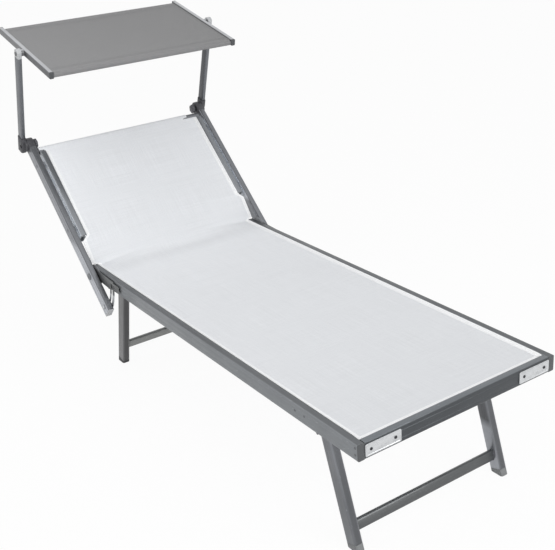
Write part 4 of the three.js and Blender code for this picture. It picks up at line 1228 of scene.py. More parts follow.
@dataclass
class SeatFrame(SubAssembly):
    """Side rails, front rail, plates, cross tubes, hinge discs, quadrants and leg brackets."""

    plate_thick: float = 0.0015
    plate_corner: float = 0.004
    plate_steps: tuple[Spot, ...] = ((0.003, 0), (0.0009, 0.0008), (0.004, 0), (0.0012, -0.0004))
    screw_inset: float = 0.017
    screw_sink: float = 0.0006
    screw_turns: Spot = (-0.2, 0.8)
    pin_radius: float = 0.005
    collar: tuple[Spot, ...] = ((0.0068, 0), (0.008, 0.0012), (0.008, 0.0042), (0.005, 0.0045))
    disc: tuple[Spot, ...] = ((0.0344, 0.0003), (0.035, 0.0008), (0.035, 0.002), (0.0344, 0.0025))
    head_radius: float = 0.011
    head_shares: tuple[Spot, ...] = ((1, 0.0045), (1, 0.0026), (0.93, 0.0014), (0.75, 0.0005), (0.5, 0.0001),
                                     (0.42, 0.0001), (0.38, 0.0016))
    bracket_rivet: float = 0.019
    rivet_drop: float = 0.020
    corner_rivet: float = 0.010
    corner_drops: Spot = (0.011, 0.029)

    def rails(self) -> None:
        """The extruded rails and their caps."""
        for side in Side:
            self.member(f"seat_rail_{side.word}", "y")
            for end in End:
                self.refine(f"seat_cap_{end.value}_{side.word}", Edge.CAP, self.finishes.dark, Slot.DARK)
        self.member("front_rail", "front")

    def plate(self, node: str) -> None:
        """A bright plate on a corner of the front rail, dished, with two screws.

        Args:
            node: The plate's node.
        """
        low, high, middle = box_of(node)
        size = (high.x - low.x, self.plate_thick, high.z - low.z)
        middle.y = high.y - self.plate_thick / 2
        piece = Bench.block(f"{node}_piece", size, corner=self.plate_corner)
        Bench.edit(piece, False)
        Bench.pick(piece, Pick.FACES, lambda c, n: n.y < -0.99)
        for inset, depth in self.plate_steps:
            Bench.extrude((0, depth, 0), (1 - 2 * inset / size[0], 1, 1 - 2 * inset / size[2]))
        Bench.rounded(Bench.close(piece, Matrix.Translation(middle)), Edge.FINE.value)
        dress(piece, self.finishes.plate, Slot.BRIGHT, self.body, node)
        y = high.y - self.plate_thick + self.screw_sink
        out, flat = size[0] / 2 - self.screw_inset, Matrix.Rotation(QUARTER, 4, "X")
        turns = [flat @ Matrix.Rotation(turn, 4, "Z") for turn in self.screw_turns]
        places = [Matrix.Translation((middle.x + way * out, y, middle.z)) @ turn
                  for way, turn in zip((-1, 1), turns)]
        self.fasteners.fix(Fastener.SCREW, f"{node}_screws", places, self.body)

    def hinge(self, side: Side) -> None:
        """The collar, pin, round flange and domed head of a hinge.

        Args:
            side: The hinge's side.
        """
        node = f"hinge_pin_{side.word}"
        low, high, _ = box_of(node)
        inner, outer = sorted((abs(low.x), abs(high.x)))
        pin, half = self.pin_radius, PLACES.half
        profile = [(r, inner + h) for r, h in self.collar]
        profile += [(r, half + h) for r, h in ((pin, self.disc[0][1]), *self.disc, (pin, self.disc[-1][1]))]
        profile += [(pin, outer - self.head_shares[0][1])]
        profile += [(self.head_radius * share, outer - drop) for share, drop in self.head_shares]
        piece = Bench.turned(f"{node}_piece", profile, facing_x(side, 0, PLACES.hinge.y, PLACES.hinge.z), 64)
        dress(Bench.rounded(piece, Edge.TUBE.value, 1), self.finishes.nylon, Slot.BLACK, self.body, node)

    def mouldings(self, side: Side) -> None:
        """A side's quadrant plate and leg brackets, with the rivets that hold them.

        Args:
            side: The side.
        """
        f, word = self.finishes, side.word
        self.refine(f"quadrant_{word}", Edge.FINE, f.quadrant, Slot.BRIGHT)
        for end in End:
            self.refine(f"{end.value}_bracket_{word}", Edge.BRACKET, f.black, Slot.BLACK)
        spots = [(PLACES.legs[end].y + way * self.bracket_rivet, self.rivet_drop)
                 for end in End for way in (-1, 1)]
        spots += [(PLACES.front + self.corner_rivet, drop) for drop in self.corner_drops]
        places = [facing_x(side, PLACES.half, y, PLACES.top - drop) for y, drop in spots]
        self.fasteners.fix(Fastener.RIVET, f"rail_rivets_{word}", places, self.body)

    def build(self) -> None:
        """Builds the whole seat frame."""
        self.rails()
        for node in ("mid_tube", "rear_tube"):
            self.tube(node)
            self.seams(node)
        for side in Side:
            self.plate(f"corner_plate_{side.word}")
        for side in Side:
            self.hinge(side)
        for side in Side:
            self.mouldings(side)


@dataclass
class LegFrame(SubAssembly):
    """Two legs, two feet and a crossbar on one pivot line."""

    end: End
    lean: float
    bar_seam: Spot = (0.0078, 0.0153)
    bar_sink: float = 0.0002

    def build(self) -> None:
        """Builds the leg frame."""
        end = self.end.value
        for side in Side:
            self.member(f"{end}_leg_{side.word}", f"{end}_leg", Edge.FINE)
            self.refine(f"{end}_foot_{side.word}", Edge.CAP, self.finishes.feet[self.end], Slot.BLACK)
        self.member(f"{end}_crossbar", f"{end}_bar", Edge.FINE)
        self.seams(f"{end}_crossbar", self.bar_seam, self.bar_sink, self.lean, QUARTER)


@dataclass
class Backrest(SubAssembly):
    """Outer bars, inner rails, tubes, studs, heads and hand knobs."""

    knob_radius: float = 0.0155
    knob_height: float = 0.014
    knob_neck: float = 0.005
    neck_radius: float = 0.0085
    neck_overlap: float = 0.001
    lobes: int = 6
    valley_steps: tuple[Spot, ...] = ((16, 0.965), (11, 0.965), (6.5, 0.97))
    foot_step: Spot = (0.0012, 1.05)
    top_steps: tuple[Spot, ...] = ((0.0011, 0.95), (0.0005, 0.9), (-0.0006, 0.93), (0, 0.6), (0.0018, 0.94))
    top_height: float = 0.0028

    def members(self) -> None:
        """The extruded bars and rails, their caps and the tubes."""
        for side in Side:
            self.member(f"back_bar_{side.word}", "bar")
            self.member(f"back_rail_{side.word}", "inner")
            self.refine(f"back_bar_cap_{side.word}", Edge.CAP, self.finishes.light, Slot.LIGHT)
        self.tube("back_top_tube")
        self.tube("back_low_tube")
        self.seams("back_low_tube")

    def in_valley(self, point: Vector, reach: float) -> bool:
        """Whether a point lies within reach, in degrees, of the middle of a valley between lobes."""
        turn = math.degrees(math.atan2(point.y, point.x)) % (360 / self.lobes)
        return abs(turn - 180 / self.lobes) < reach

    def knob(self) -> Piece:
        """A lobed hand knob on its neck, along Z from its open side.

        Returns:
            The piece.
        """
        piece = Bench.started("knob", bpy.ops.mesh.primitive_circle_add, vertices=self.lobes * 16,
                              radius=self.knob_radius, fill_type="NGON")
        Bench.edit(piece)
        for reach, share in self.valley_steps:
            Bench.pick(piece, Pick.POINTS, lambda p, _, reach=reach: self.in_valley(p, reach))
            Bench.resize(share, share, 1)
        bpy.ops.mesh.select_mode(type="FACE")
        bpy.ops.mesh.select_all(action="SELECT")
        bpy.ops.transform.translate(value=(0, 0, self.knob_neck))
        straight = (self.knob_height - self.knob_neck - self.top_height, 1.0)
        for rise, share in (self.foot_step, straight, *self.top_steps):
            Bench.extrude((0, 0, rise), (share, share, 1))
        Bench.close(piece)
        neck_profile = [(self.neck_radius, 0), (self.neck_radius, self.knob_neck + self.neck_overlap)]
        neck = Bench.turned("neck", neck_profile, sides=32)
        return Bench.rounded(Bench.joined("knob_master", [piece, neck]), Edge.FINE.value, 2, 40)

    def knobs(self) -> None:
        """Puts a knob on each head's bolt."""
        master = self.knob()
        for side, body in ((Side.LEFT, Body.LEFT_KNOB), (Side.RIGHT, Body.RIGHT_KNOB)):
            node = f"fold_knob_{side.word}"
            low, high, _ = box_of(node)
            outer = side.value * max(abs(low.x), abs(high.x))
            place = (Matrix.Translation((outer, PLACES.arm_pivot.y, PLACES.arm_pivot.z))
                     @ Matrix.Rotation(-side.value * QUARTER, 4, "Y"))
            dress(Bench.copied(master, f"{node}_piece", place), self.finishes.knob, Slot.BLACK, body, node)
        bpy.data.objects.remove(master)

    def build(self) -> None:
        """Builds the backrest's frame."""
        self.members()
        for side in Side:
            self.refine(f"bar_head_{side.word}", Edge.HEAD, self.finishes.black, Slot.BLACK)
            self.refine(f"clamp_stud_{side.word}", Edge.STUD, self.finishes.steel, Slot.STEEL)
        self.knobs()


@dataclass
class CanopyArms(SubAssembly):
    """Two arms with their moulded hubs and light tips."""

    def build(self) -> None:
        """Builds the arms."""
        for side in Side:
            self.refine(f"arm_hub_{side.word}", Edge.BRACKET, self.finishes.black, Slot.BLACK)
            self.member(f"arm_{side.word}", "arm")
            self.refine(f"arm_tip_{side.word}", Edge.TIP, self.finishes.light, Slot.LIGHT)


@dataclass
class CanopyFrame(SubAssembly):
    """Side rails, caps and rods of the canopy."""

    def build(self) -> None:
        """Builds the canopy's frame."""
        for side in Side:
            self.member(f"canopy_rail_{side.word}", "canopy")
            for end in End:
                self.refine(f"canopy_cap_{end.value}_{side.word}", Edge.TIP, self.finishes.dark, Slot.DARK)
        for end in End:
            self.member(f"canopy_rod_{end.value}", "tube", Edge.FINE)


# Cloth


def distances(line: np.ndarray) -> np.ndarray:
    """The distance along a line at each of its points."""
    return np.concatenate([[0.0], np.cumsum(np.linalg.norm(np.diff(line, axis=0), axis=1))])


def grid_faces(rows: int, cols: int, shown: Callable[[int, int], bool]) -> list[tuple[int, ...]]:
    """The four-sided faces of a grid of points, for the fields that are shown."""
    starts = [i * cols + j for i in range(rows - 1) for j in range(cols - 1) if shown(i, j)]
    return [(at, at + 1, at + cols + 1, at + cols) for at in starts]


def mesh_piece(name: str, points: Sequence[object], faces: Sequence[tuple[int, ...]],
               flat: np.ndarray | None = None) -> Piece:
    """A piece from points and faces.

    Args:
        name: The piece's name.
        points: Its points.
        faces: Its faces, by the numbers of their points.
        flat: Each point's own coordinates in metres, where it has them.

    Returns:
        The piece.
    """
    data = bpy.data.meshes.new(name)
    data.from_pydata(points, [], faces)
    if flat is not None:
        order = np.zeros(len(data.loops), int)
        data.loops.foreach_get("vertex_index", order)
        data.uv_layers.new(name="cloth").uv.foreach_set("vector", flat[order].ravel())
    piece = bpy.data.objects.new(name, data)
    bpy.context.scene.collection.objects.link(piece)
    return piece


def thickened(piece: Piece, thickness: float) -> Piece:
    """Gives a sheet its thickness, half on each side.

    Args:
        piece: The open sheet.
        thickness: Its thickness in metres.

    Returns:
        The piece.
    """
    Bench.take(piece)
    wall = piece.modifiers.new("wall", "SOLIDIFY")
    wall.thickness = thickness
    wall.offset = 0
    bpy.ops.object.modifier_apply(modifier=wall.name)
    bpy.ops.object.shade_smooth_by_angle(angle=math.radians(50))
    return piece


@dataclass
class ClothSheet:
    """A sheet lofted through stations: each has a point for its edge, one for its middle and a half width."""

    name: str
    edge_path: np.ndarray
    middle_path: np.ndarray
    half_widths: np.ndarray
    columns: np.ndarray
    sag: np.ndarray

    def line(self, t: np.ndarray | float, lift: np.ndarray | float = 0.0) -> np.ndarray:
        """A line along the sheet at a share of its half width.

        Args:
            t: The share, which may change from station to station.
            lift: Height above the sheet's middle surface.

        Returns:
            The line's points.
        """
        t = t + np.zeros(len(self.sag))
        share = (1 - t ** 2)[:, None]
        flat = self.edge_path * (1 - share) + self.middle_path * share
        tangent = np.gradient(flat, axis=0)
        tangent /= np.maximum(np.linalg.norm(tangent, axis=1, keepdims=True), 1e-9)
        normal = np.stack([-tangent[:, 1], tangent[:, 0]], axis=1)
        flat = flat + normal * (lift - self.sag * (1 - t ** 2))[:, None]
        return np.concatenate([(self.half_widths * t)[:, None], flat], axis=1)

    def mesh(self, shown: Callable[[int, float], bool]) -> Piece:
        """Makes the sheet as a mesh with its own coordinates in metres.

        Args:
            shown: Whether the field after a station, at a share of the width, is cloth.

        Returns:
            The piece.
        """
        grid = np.stack([self.line(t) for t in self.columns], axis=1)
        rows, cols = grid.shape[:2]
        middles = (self.columns[1:] + self.columns[:-1]) / 2
        faces = grid_faces(rows, cols, lambda i, j: shown(i, middles[j]))
        lengths = np.repeat(distances(self.middle_path)[:, None], cols, axis=1)
        flat = np.stack([grid[..., 0], lengths], axis=2).reshape(-1, 2)
        piece = mesh_piece(self.name, grid.reshape(-1, 3).tolist(), faces, flat)
        Bench.edit(piece)
        bpy.ops.mesh.delete_loose()
        bpy.ops.object.mode_set(mode="OBJECT")
        return piece


def stations(points: Sequence[Spot], count: int, soften: float = 0.0) -> np.ndarray:
    """Even stations on a line through points, with its corners softened.

    Args:
        points: The line's corners in (y, z).
        count: How many stations it gets.
        soften: Length over which a corner is softened, in metres.

    Returns:
        An array of count by 2.
    """
    fine_steps = 2000
    corners = np.array(points, float)
    at = distances(corners)
    fine = np.linspace(0, at[-1], fine_steps + 1)
    line = np.stack([np.interp(fine, at, corners[:, k]) for k in (0, 1)], axis=1)
    if soften > 0:
        width = max(3, int(soften / at[-1] * fine_steps) | 1)
        kernel = np.hanning(width + 2)[1:-1]
        kernel /= kernel.sum()
        padded = np.concatenate([2 * line[0] - line[width:0:-1], line, 2 * line[-1] - line[-2:-width - 2:-1]])
        kept = slice(width, width + fine_steps + 1)
        line = np.stack([np.convolve(padded[:, k], kernel, "same")[kept] for k in (0, 1)], axis=1)
    run = distances(line)
    even = np.linspace(0, run[-1], count)
    return np.stack([np.interp(even, run, line[:, k]) for k in (0, 1)], axis=1)


def crosswise(x: np.ndarray, spot: Spot, lift: float) -> np.ndarray:
    """A straight line across the lounger at a spot, lifted above it."""
    return np.stack([x, np.full_like(x, spot[0]), np.full_like(x, spot[1] + lift)], axis=1)


def stitch_rows(name: str, runs: Sequence[np.ndarray], finish: Material, slot: Slot, pitch: float = 0.0065,
                length: float = 0.0042, radius: float = 0.00042) -> Piece:
    """Rows of stitches along lines on the cloth, as one piece.

    Args:
        name: The piece's name.
        runs: The lines, each an array of points in the row frame.
        finish: The thread's material.
        slot: The record's slot.
        pitch: Distance from stitch to stitch.
        length: Length of a stitch.
        radius: Half the thread's thickness.

    Returns:
        The piece, without a body.
    """
    master = Bench.started("stitch", bpy.ops.mesh.primitive_uv_sphere_add, segments=6, ring_count=4,
                           radius=radius)
    Bench.edit(master)
    bpy.ops.transform.rotate(value=QUARTER, orient_axis="X", center_override=CENTRE)
    Bench.resize(1, length / 2 / radius, 0.8)
    Bench.close(master)
    shape = np.array([v.co for v in master.data.vertices])
    faces = [tuple(p.vertices) for p in master.data.polygons]
    bpy.data.objects.remove(master)
    points, polygons = [], []
    for run in runs:
        at = distances(run)
        for middle in np.arange(pitch / 2, at[-1] - pitch / 2, pitch):
            spot, ahead = (np.array([np.interp(place, at, run[:, k]) for k in range(3)])
                           for place in (middle, middle + pitch / 3))
            way = (ahead - spot) / max(np.linalg.norm(ahead - spot), 1e-9)
            side = np.cross(way, (0, 0, 1.0)) if abs(way[2]) < 0.9 else np.array([1.0, 0, 0])
            side /= np.linalg.norm(side)
            base = len(points)
            points.extend((spot + shape @ np.stack([side, way, np.cross(side, way)])).tolist())
            polygons.extend(tuple(base + i for i in face) for face in faces)
    return dress(Bench.smooth(mesh_piece(name, points, polygons)), finish, slot, None)


def strip_mesh(name: str, grid: np.ndarray, thickness: float = 0.0006) -> Piece:
    """A narrow tape through rows of points, with its own coordinates, thickened.

    Args:
        name: The piece's name.
        grid: Its points, rows by columns by 3.
        thickness: Its thickness in metres.

    Returns:
        The piece.
    """
    rows, cols = grid.shape[:2]
    flat = np.stack(np.meshgrid(distances(grid[rows // 2]), distances(grid[:, 0])), axis=2).reshape(-1, 2)
    piece = mesh_piece(name, grid.reshape(-1, 3).tolist(), grid_faces(rows, cols, lambda i, j: True), flat)
    Bench.edit(piece)
    bpy.ops.mesh.normals_make_consistent(inside=False)
    bpy.ops.object.mode_set(mode="OBJECT")
    return thickened(piece, thickness)


def make_bead(name: str, start: Sequence[float], end: Sequence[float], radius: float) -> Piece:
    """A round bead of cloth between two points, with rounded ends.

    Args:
        name: The piece's name.
        start: One end.
        end: The other end.
        radius: Its radius in metres.

    Returns:
        The piece.
    """
    start, run = Vector(start), Vector(end) - Vector(start)
    place = Matrix.Translation(start) @ run.to_track_quat("Z", "Y").to_matrix().to_4x4()
    shares = ((0.6, 0), (0.92, 0.3), (1, 0.8))
    profile = [(radius * out, radius * up) for out, up in shares]
    profile += [(radius * out, run.length - radius * up) for out, up in reversed(shares)]
    piece = Bench.smooth(Bench.turned(name, profile, place, 14))
    layer = piece.data.uv_layers.new(name="cloth")
    way = run.normalized()
    for loop in piece.data.loops:
        spot = piece.data.vertices[loop.vertex_index].co - start
        reach = spot.dot(way)
        layer.uv[loop.index].vector = ((spot - way * reach).x, reach)
    return piece


@dataclass
class SlingCloth:
    """Seat and back in one length of mesh cloth, held in the rails and sewn round the top tube.

    Places on the seat are distances from the front or from the hinge, and places on the back are distances up
    from the hinge. Counts are numbers of stations.
    """

    finishes: Finishes
    thickness: float = 0.0012
    channel: float = 0.016
    front_edge: float = 0.016
    bead: float = 0.004
    bead_radius: float = 0.0022
    bead_grip: float = 0.0014
    bead_start: float = 0.021
    bead_reaches: Triple = (0.0005, 0.003, 0.002)
    front_bead_gap: float = 0.005
    seat_tail: float = 0.0292
    back_start: float = 0.1403
    rail_end: float = 0.4908
    fold_in: float = -0.12
    fold_out: float = 0.26
    fold_radius: float = 0.11
    fold_soft: float = 0.012
    seat_count: int = 150
    fold_count: int = 110
    back_count: int = 34
    rise_count: int = 5
    pocket_count: int = 30
    pocket_turn: Spot = (90, -118)
    flap_count: int = 14
    column_count: int = 61
    sag_lead: int = 20
    wing_insets: tuple[int, int] = (2, 5)
    flap_soft: float = 0.004
    bridge_half: float = 0.318
    bridge_ends: Spot = (0.014, 0.018)
    bridge_gaps: Spot = (0.003, 0.005)
    wing_gap: float = 0.0035
    rim_share: float = 0.99
    seam_drops: tuple[Spot, ...] = ((0.026, 0.0021), (0.046, 0.0016))
    hem: float = 0.012
    front_hem: float = 0.0204
    hem_gap: float = 0.001
    rim_gap: float = 0.0004
    cord: float = 0.0044
    swell_start: float = 0.55
    tape_lift: float = 0.00035
    stitch_lift: float = 0.00085
    side_stitches: Spot = (0.0066, 0.0098)
    front_stitches: Spot = (0.0028, 0.0098)
    front_stitch_half: float = 0.284
    pocket_stitches: Spot = (0.030, 0.042)
    pocket_left: float = -0.298
    pocket_right: float = 0.248
    pocket_rim: float = 0.004
    pocket_lift: float = 0.0002
    seat_sag: float = 0.006
    back_sag: float = 0.004
    flat: Spot = (0.64, 1.99)
    rests_on: tuple[str, ...] = ("seat_rail_left", "seat_rail_right", "front_rail", "back_rail_left",
                                 "back_rail_right", "back_top_tube")

    def __post_init__(self) -> None:
        """Finds the top tube on the back, the cloth's edges in the rails and the stations at the pocket."""
        self.tube = PLACES.back.inverted() @ box_of("back_top_tube")[2]
        self.held = PLACES.rail_in + self.bead - self.bead_grip
        self.top_station = self.seat_count + self.fold_count + self.back_count - 2
        self.loop_end = self.top_station + self.rise_count + self.pocket_count - 2

    def on_seat(self, y: float) -> Spot:
        """A point of the cloth over the seat, y metres behind the hinge."""
        return (PLACES.hinge.y + y, PLACES.hinge.z + self.channel)

    def past_front(self, y: float) -> Spot:
        """A point of the cloth over the seat, y metres behind the lounger's front."""
        return self.on_seat(PLACES.front + y - PLACES.hinge.y)

    def on_back(self, u: float, w: float | None = None) -> Spot:
        """A point u metres up the back from the hinge, on the cloth or w in front of the bars' middle."""
        spot = PLACES.back @ Vector((0, u, self.channel if w is None else w))
        return (spot.y, spot.z)

    def loft(self) -> ClothSheet:
        """Leads the cloth from the front rail to the pocket's seam.

        Returns:
            The sheet.
        """
        half_tan = math.tan(PLACES.back_angle / 2)
        corner = self.channel * half_tan
        count, start, end = self.fold_count, self.on_seat(self.fold_in), self.on_back(self.fold_out)
        seat = stations([self.past_front(self.front_edge), start], self.seat_count)
        straight = (self.on_seat(self.seat_tail), self.on_back(self.back_start))
        bend = (self.on_seat(-corner), self.on_back(corner))
        edge = stations([start, *straight, end], count, self.fold_soft)
        middle = stations([start, *bend, end], count, self.fold_radius * half_tan * 2)
        back = stations([end, self.on_back(self.rail_end)], self.back_count)
        rise = stations([self.on_back(self.rail_end), self.on_back(self.tube.y)], self.rise_count)
        radius = self.channel - self.tube.z
        turns = [math.radians(a) for a in np.linspace(*self.pocket_turn, self.pocket_count)]
        loop = np.array([self.on_back(self.tube.y + radius * math.cos(a), self.tube.z + radius * math.sin(a))
                         for a in turns])
        seam = [self.on_back(self.tube.y - down, self.channel - drop) for down, drop in self.seam_drops]
        flap = stations([tuple(loop[-1]), *seam], self.flap_count, self.flap_soft)
        tail = (back[1:], rise[1:], loop[1:], flap[1:])
        return self.shaped(np.concatenate([seat, edge[1:], *tail]), np.concatenate([seat, middle[1:], *tail]))

    def shaped(self, edge_path: np.ndarray, middle_path: np.ndarray) -> ClothSheet:
        """Gives the stations their widths and sag.

        Args:
            edge_path: The edge's line.
            middle_path: The middle's line.

        Returns:
            The sheet.
        """
        run = distances(edge_path)
        seat_end = run[self.seat_count - 1]
        bridge = math.dist(self.on_seat(self.seat_tail), self.on_back(self.back_start))
        tail = seat_end - self.fold_in + self.seat_tail + self.bridge_gaps[0]
        start = tail + bridge - self.bridge_gaps[1]
        nearer = np.minimum((run - tail) / self.bridge_ends[0], (start - run) / self.bridge_ends[1])
        free = np.clip(nearer, 0, 1)
        widths = self.held + (self.bridge_half - self.held) * free * free * (3 - 2 * free)
        after, before = self.wing_insets
        wings = slice(self.top_station + after, self.loop_end - before)
        widths[wings] = box_of("back_bar_right")[0].x - self.wing_gap
        seat_wave = np.clip(run / seat_end, 0, 1)
        sag = self.seat_sag * np.sin(math.pi * seat_wave) ** 0.8 * (run <= seat_end)
        low, high = run[self.seat_count + self.fold_count - self.sag_lead], run[self.top_station]
        sag = sag + self.back_sag * np.sin(math.pi * np.clip((run - low) / (high - low), 0, 1))
        rims = [self.pocket_right / self.held, self.rim_share, -self.rim_share]
        columns = np.unique(np.concatenate([np.linspace(-1, 1, self.column_count), rims]))
        return ClothSheet("sling_cloth", edge_path, middle_path, widths, columns, sag)

    def tapes(self, sheet: ClothSheet, visible: np.ndarray) -> list[Piece]:
        """The white hem tapes along both sides and the front, with a raised edge in the rails.

        Args:
            sheet: The cloth.
            visible: The half width that shows at each station.

        Returns:
            The tapes.
        """
        pieces = []
        lift = self.thickness / 2 + self.tape_lift
        outer, inner = visible / sheet.half_widths, (visible - self.hem) / sheet.half_widths
        in_rail = np.convolve(sheet.half_widths <= PLACES.rail_in + self.bead, np.ones(7) / 7, "same")
        for side in Side:
            grid = []
            for share in np.linspace(0, 1, 13):
                rise = max(0.0, (share - self.swell_start) / (1 - self.swell_start))
                swell = math.sin(QUARTER * rise) ** 1.3
                t = (inner + (outer - inner) * share) * side.value
                grid.append(sheet.line(t, lift + self.cord * swell * in_rail))
            pieces.append(strip_mesh(f"hem_tape_{side.word}", np.stack(grid, axis=1)[:self.top_station]))
        half = PLACES.rail_in - self.hem - self.hem_gap
        spots = [self.past_front(y) for y in np.linspace(self.front_hem, self.front_hem + self.hem, 4)]
        rows = [crosswise(np.linspace(-half, half, 61), spot, lift) for spot in spots]
        return [*pieces, strip_mesh("hem_tape_front", np.stack(rows, axis=1))]

    def stitches(self, sheet: ClothSheet, visible: np.ndarray) -> Piece:
        """The stitches along the sides, the front and the pocket.

        Args:
            sheet: The cloth.
            visible: The half width that shows at each station.

        Returns:
            The stitches.
        """
        lift = self.thickness / 2 + self.stitch_lift
        rows = [sheet.line(side.value * (visible - inset) / sheet.half_widths, lift)[:self.top_station]
                for side in Side for inset in self.side_stitches]
        x = np.linspace(-self.front_stitch_half, self.front_stitch_half, 80)
        rows += [crosswise(x, self.past_front(self.front_hem + y), lift) for y in self.front_stitches]
        x = np.linspace(self.pocket_left, self.pocket_right - self.pocket_rim, 90)
        top = self.channel + self.thickness / 2 + self.pocket_lift
        rows += [crosswise(x, self.on_back(self.tube.y - down, top), 0.0) for down in self.pocket_stitches]
        return stitch_rows("sling_stitches", rows, self.finishes.thread, Slot.PALE_CLOTH)

    def beads(self) -> list[Piece]:
        """The round beads that hold the cloth in the rails' channels.

        Returns:
            The beads.
        """
        pieces = []
        x = PLACES.rail_in + self.bead
        past_seat, before, past = self.bead_reaches
        spans = {
            ("seat", Body.SEAT): (self.past_front(self.bead_start), self.on_seat(self.seat_tail + past_seat)),
            ("back", Body.BACK): (self.on_back(self.back_start - before), self.on_back(self.rail_end + past)),
        }
        for side in Side:
            for (name, body), span in spans.items():
                start, end = ((side.value * x, *spot) for spot in span)
                pieces.append((make_bead(f"{name}_bead_{side.word}", start, end, self.bead_radius), body))
        half, spot = PLACES.rail_in - self.front_bead_gap, self.past_front(self.front_edge)
        pieces.append((make_bead("front_bead", (-half, *spot), (half, *spot), self.bead_radius), Body.SEAT))
        return [dress(bead, self.finishes.hem, Slot.PALE_CLOTH, body) for bead, body in pieces]

    def build(self) -> None:
        """Builds the cloth with its hems, stitches and beads."""
        sheet = self.loft()
        top, split = self.top_station, self.pocket_right / self.held
        cloth = thickened(sheet.mesh(lambda i, t: i < top or t < split), self.thickness)
        dress(cloth, self.finishes.cloth, Slot.PALE_CLOTH, None, "seat_fabric", "back_fabric")
        bare = sheet.half_widths > PLACES.rail_in + self.bead
        visible = np.where(bare, sheet.half_widths, PLACES.rail_in - self.rim_gap)
        tapes = [dress(tape, self.finishes.hem, Slot.PALE_CLOTH, None) for tape in self.tapes(sheet, visible)]
        stitches = self.stitches(sheet, visible)
        beads = self.beads()
        for piece in (cloth, stitches, *tapes):
            if piece.name == "hem_tape_front":
                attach(piece, Body.SEAT.value)
            else:
                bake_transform(piece)


@dataclass
class ShadeCloth:
    """The canopy's cloth: one curved sheet between the rails, hemmed round both rods.

    Distances along the canopy are measured from its pivot, and heights from the rails' middle.
    """

    finishes: Finishes
    thickness: float = 0.0011
    height: float = 0.0064
    rod_height: float = -0.0025
    rod_place: float = 0.1945
    face: float = 0.326
    held: float = 0.3285
    rim: float = 0.0012
    rim_inner: float = 0.001
    bead_at: float = 0.3295
    bead_radius: float = 0.0018
    sag: float = 0.007
    hem_turn: Spot = (-62, 90)
    flap_steps: tuple[Spot, ...] = ((0.030, 0.0016), (0.016, 0.0022))
    flap_soft: float = 0.003
    stitch_gap: float = 0.004
    stitch_lift: float = 0.0002
    stitch_insets: Spot = (0.0185, 0.0265)
    stitch_pitch: float = 0.0055
    stitch_length: float = 0.0036
    flat: Spot = (0.66, 0.50)
    rests_on: tuple[str, ...] = ("canopy_rail_left", "canopy_rail_right", "canopy_rod_front",
                                 "canopy_rod_rear")

    def on(self, v: float, w: float) -> Spot:
        """A point of the canopy, v metres to the rear of its pivot and w above it."""
        spot = PLACES.canopy @ Vector((0, v, w))
        return (spot.y, spot.z)

    def end(self, way: int) -> np.ndarray:
        """The hem round one rod, from its seam to the top of the rod.

        Args:
            way: -1 for the front rod and 1 for the rear one.

        Returns:
            The hem's stations.
        """
        radius = self.height - self.rod_height
        turns = [math.radians(a) for a in np.linspace(*self.hem_turn, 22)]
        loop = [(self.rod_place + radius * math.cos(a), self.rod_height + radius * math.sin(a))
                for a in turns]
        start = [(self.rod_place - back, self.height - drop) for back, drop in self.flap_steps]
        flap = stations([*start, loop[0]], 12, self.flap_soft)
        return np.array([self.on(way * v, w) for v, w in (*flap[:-1], *loop)])

    def stitches(self) -> Piece:
        """The two rows of stitches along each rod.

        Returns:
            The stitches.
        """
        rows = []
        x = np.linspace(-self.face + self.stitch_gap, self.face - self.stitch_gap, 90)
        top = self.height + self.thickness / 2 + self.stitch_lift
        for v in (way * (self.rod_place - inset) for way in (-1, 1) for inset in self.stitch_insets):
            drop = self.sag * (1 - (v / self.rod_place) ** 2) * (1 - (x / self.held) ** 2)
            spots = [self.on(v, top - d) for d in drop]
            rows.append(np.concatenate([x[:, None], np.array(spots)], axis=1))
        return stitch_rows("shade_stitches", rows, self.finishes.grey_thread, Slot.GREY_CLOTH,
                           self.stitch_pitch, self.stitch_length)

    def build(self) -> None:
        """Builds the cloth with its hems, stitches and beads."""
        front, rear = self.end(-1), self.end(1)
        panel = np.array([self.on(v, self.height) for v in np.linspace(-self.rod_place, self.rod_place, 60)])
        path = np.concatenate([front, panel[1:-1], rear[::-1]])
        first, last = len(front) - 1, len(front) + len(panel) - 2
        depth = np.zeros(len(path))
        depth[first:last + 1] = self.sag * (1 - np.linspace(-1, 1, len(panel)) ** 2)
        rim = self.face / self.held - self.rim
        columns = np.unique(np.concatenate([np.linspace(-1, 1, 57), [rim, -rim]]))
        sheet = ClothSheet("shade_cloth", path, path, np.full(len(path), self.held), columns, depth)
        inner = self.face / self.held - self.rim_inner
        cloth = thickened(sheet.mesh(lambda i, t: abs(t) < inner or first <= i < last), self.thickness)
        dress(cloth, self.finishes.shade_cloth, Slot.GREY_CLOTH, Body.CANOPY, "canopy_fabric")
        stitches = self.stitches()
        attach(stitches, Body.CANOPY.value)
        ends = [self.on(way * self.rod_place, self.height) for way in (-1, 1)]
        for side in Side:
            start, end = ((side.value * self.bead_at, *spot) for spot in ends)
            bead = make_bead(f"shade_bead_{side.word}", start, end, self.bead_radius)
            dress(bead, self.finishes.shade_hem, Slot.GREY_CLOTH, Body.CANOPY)


# Studio


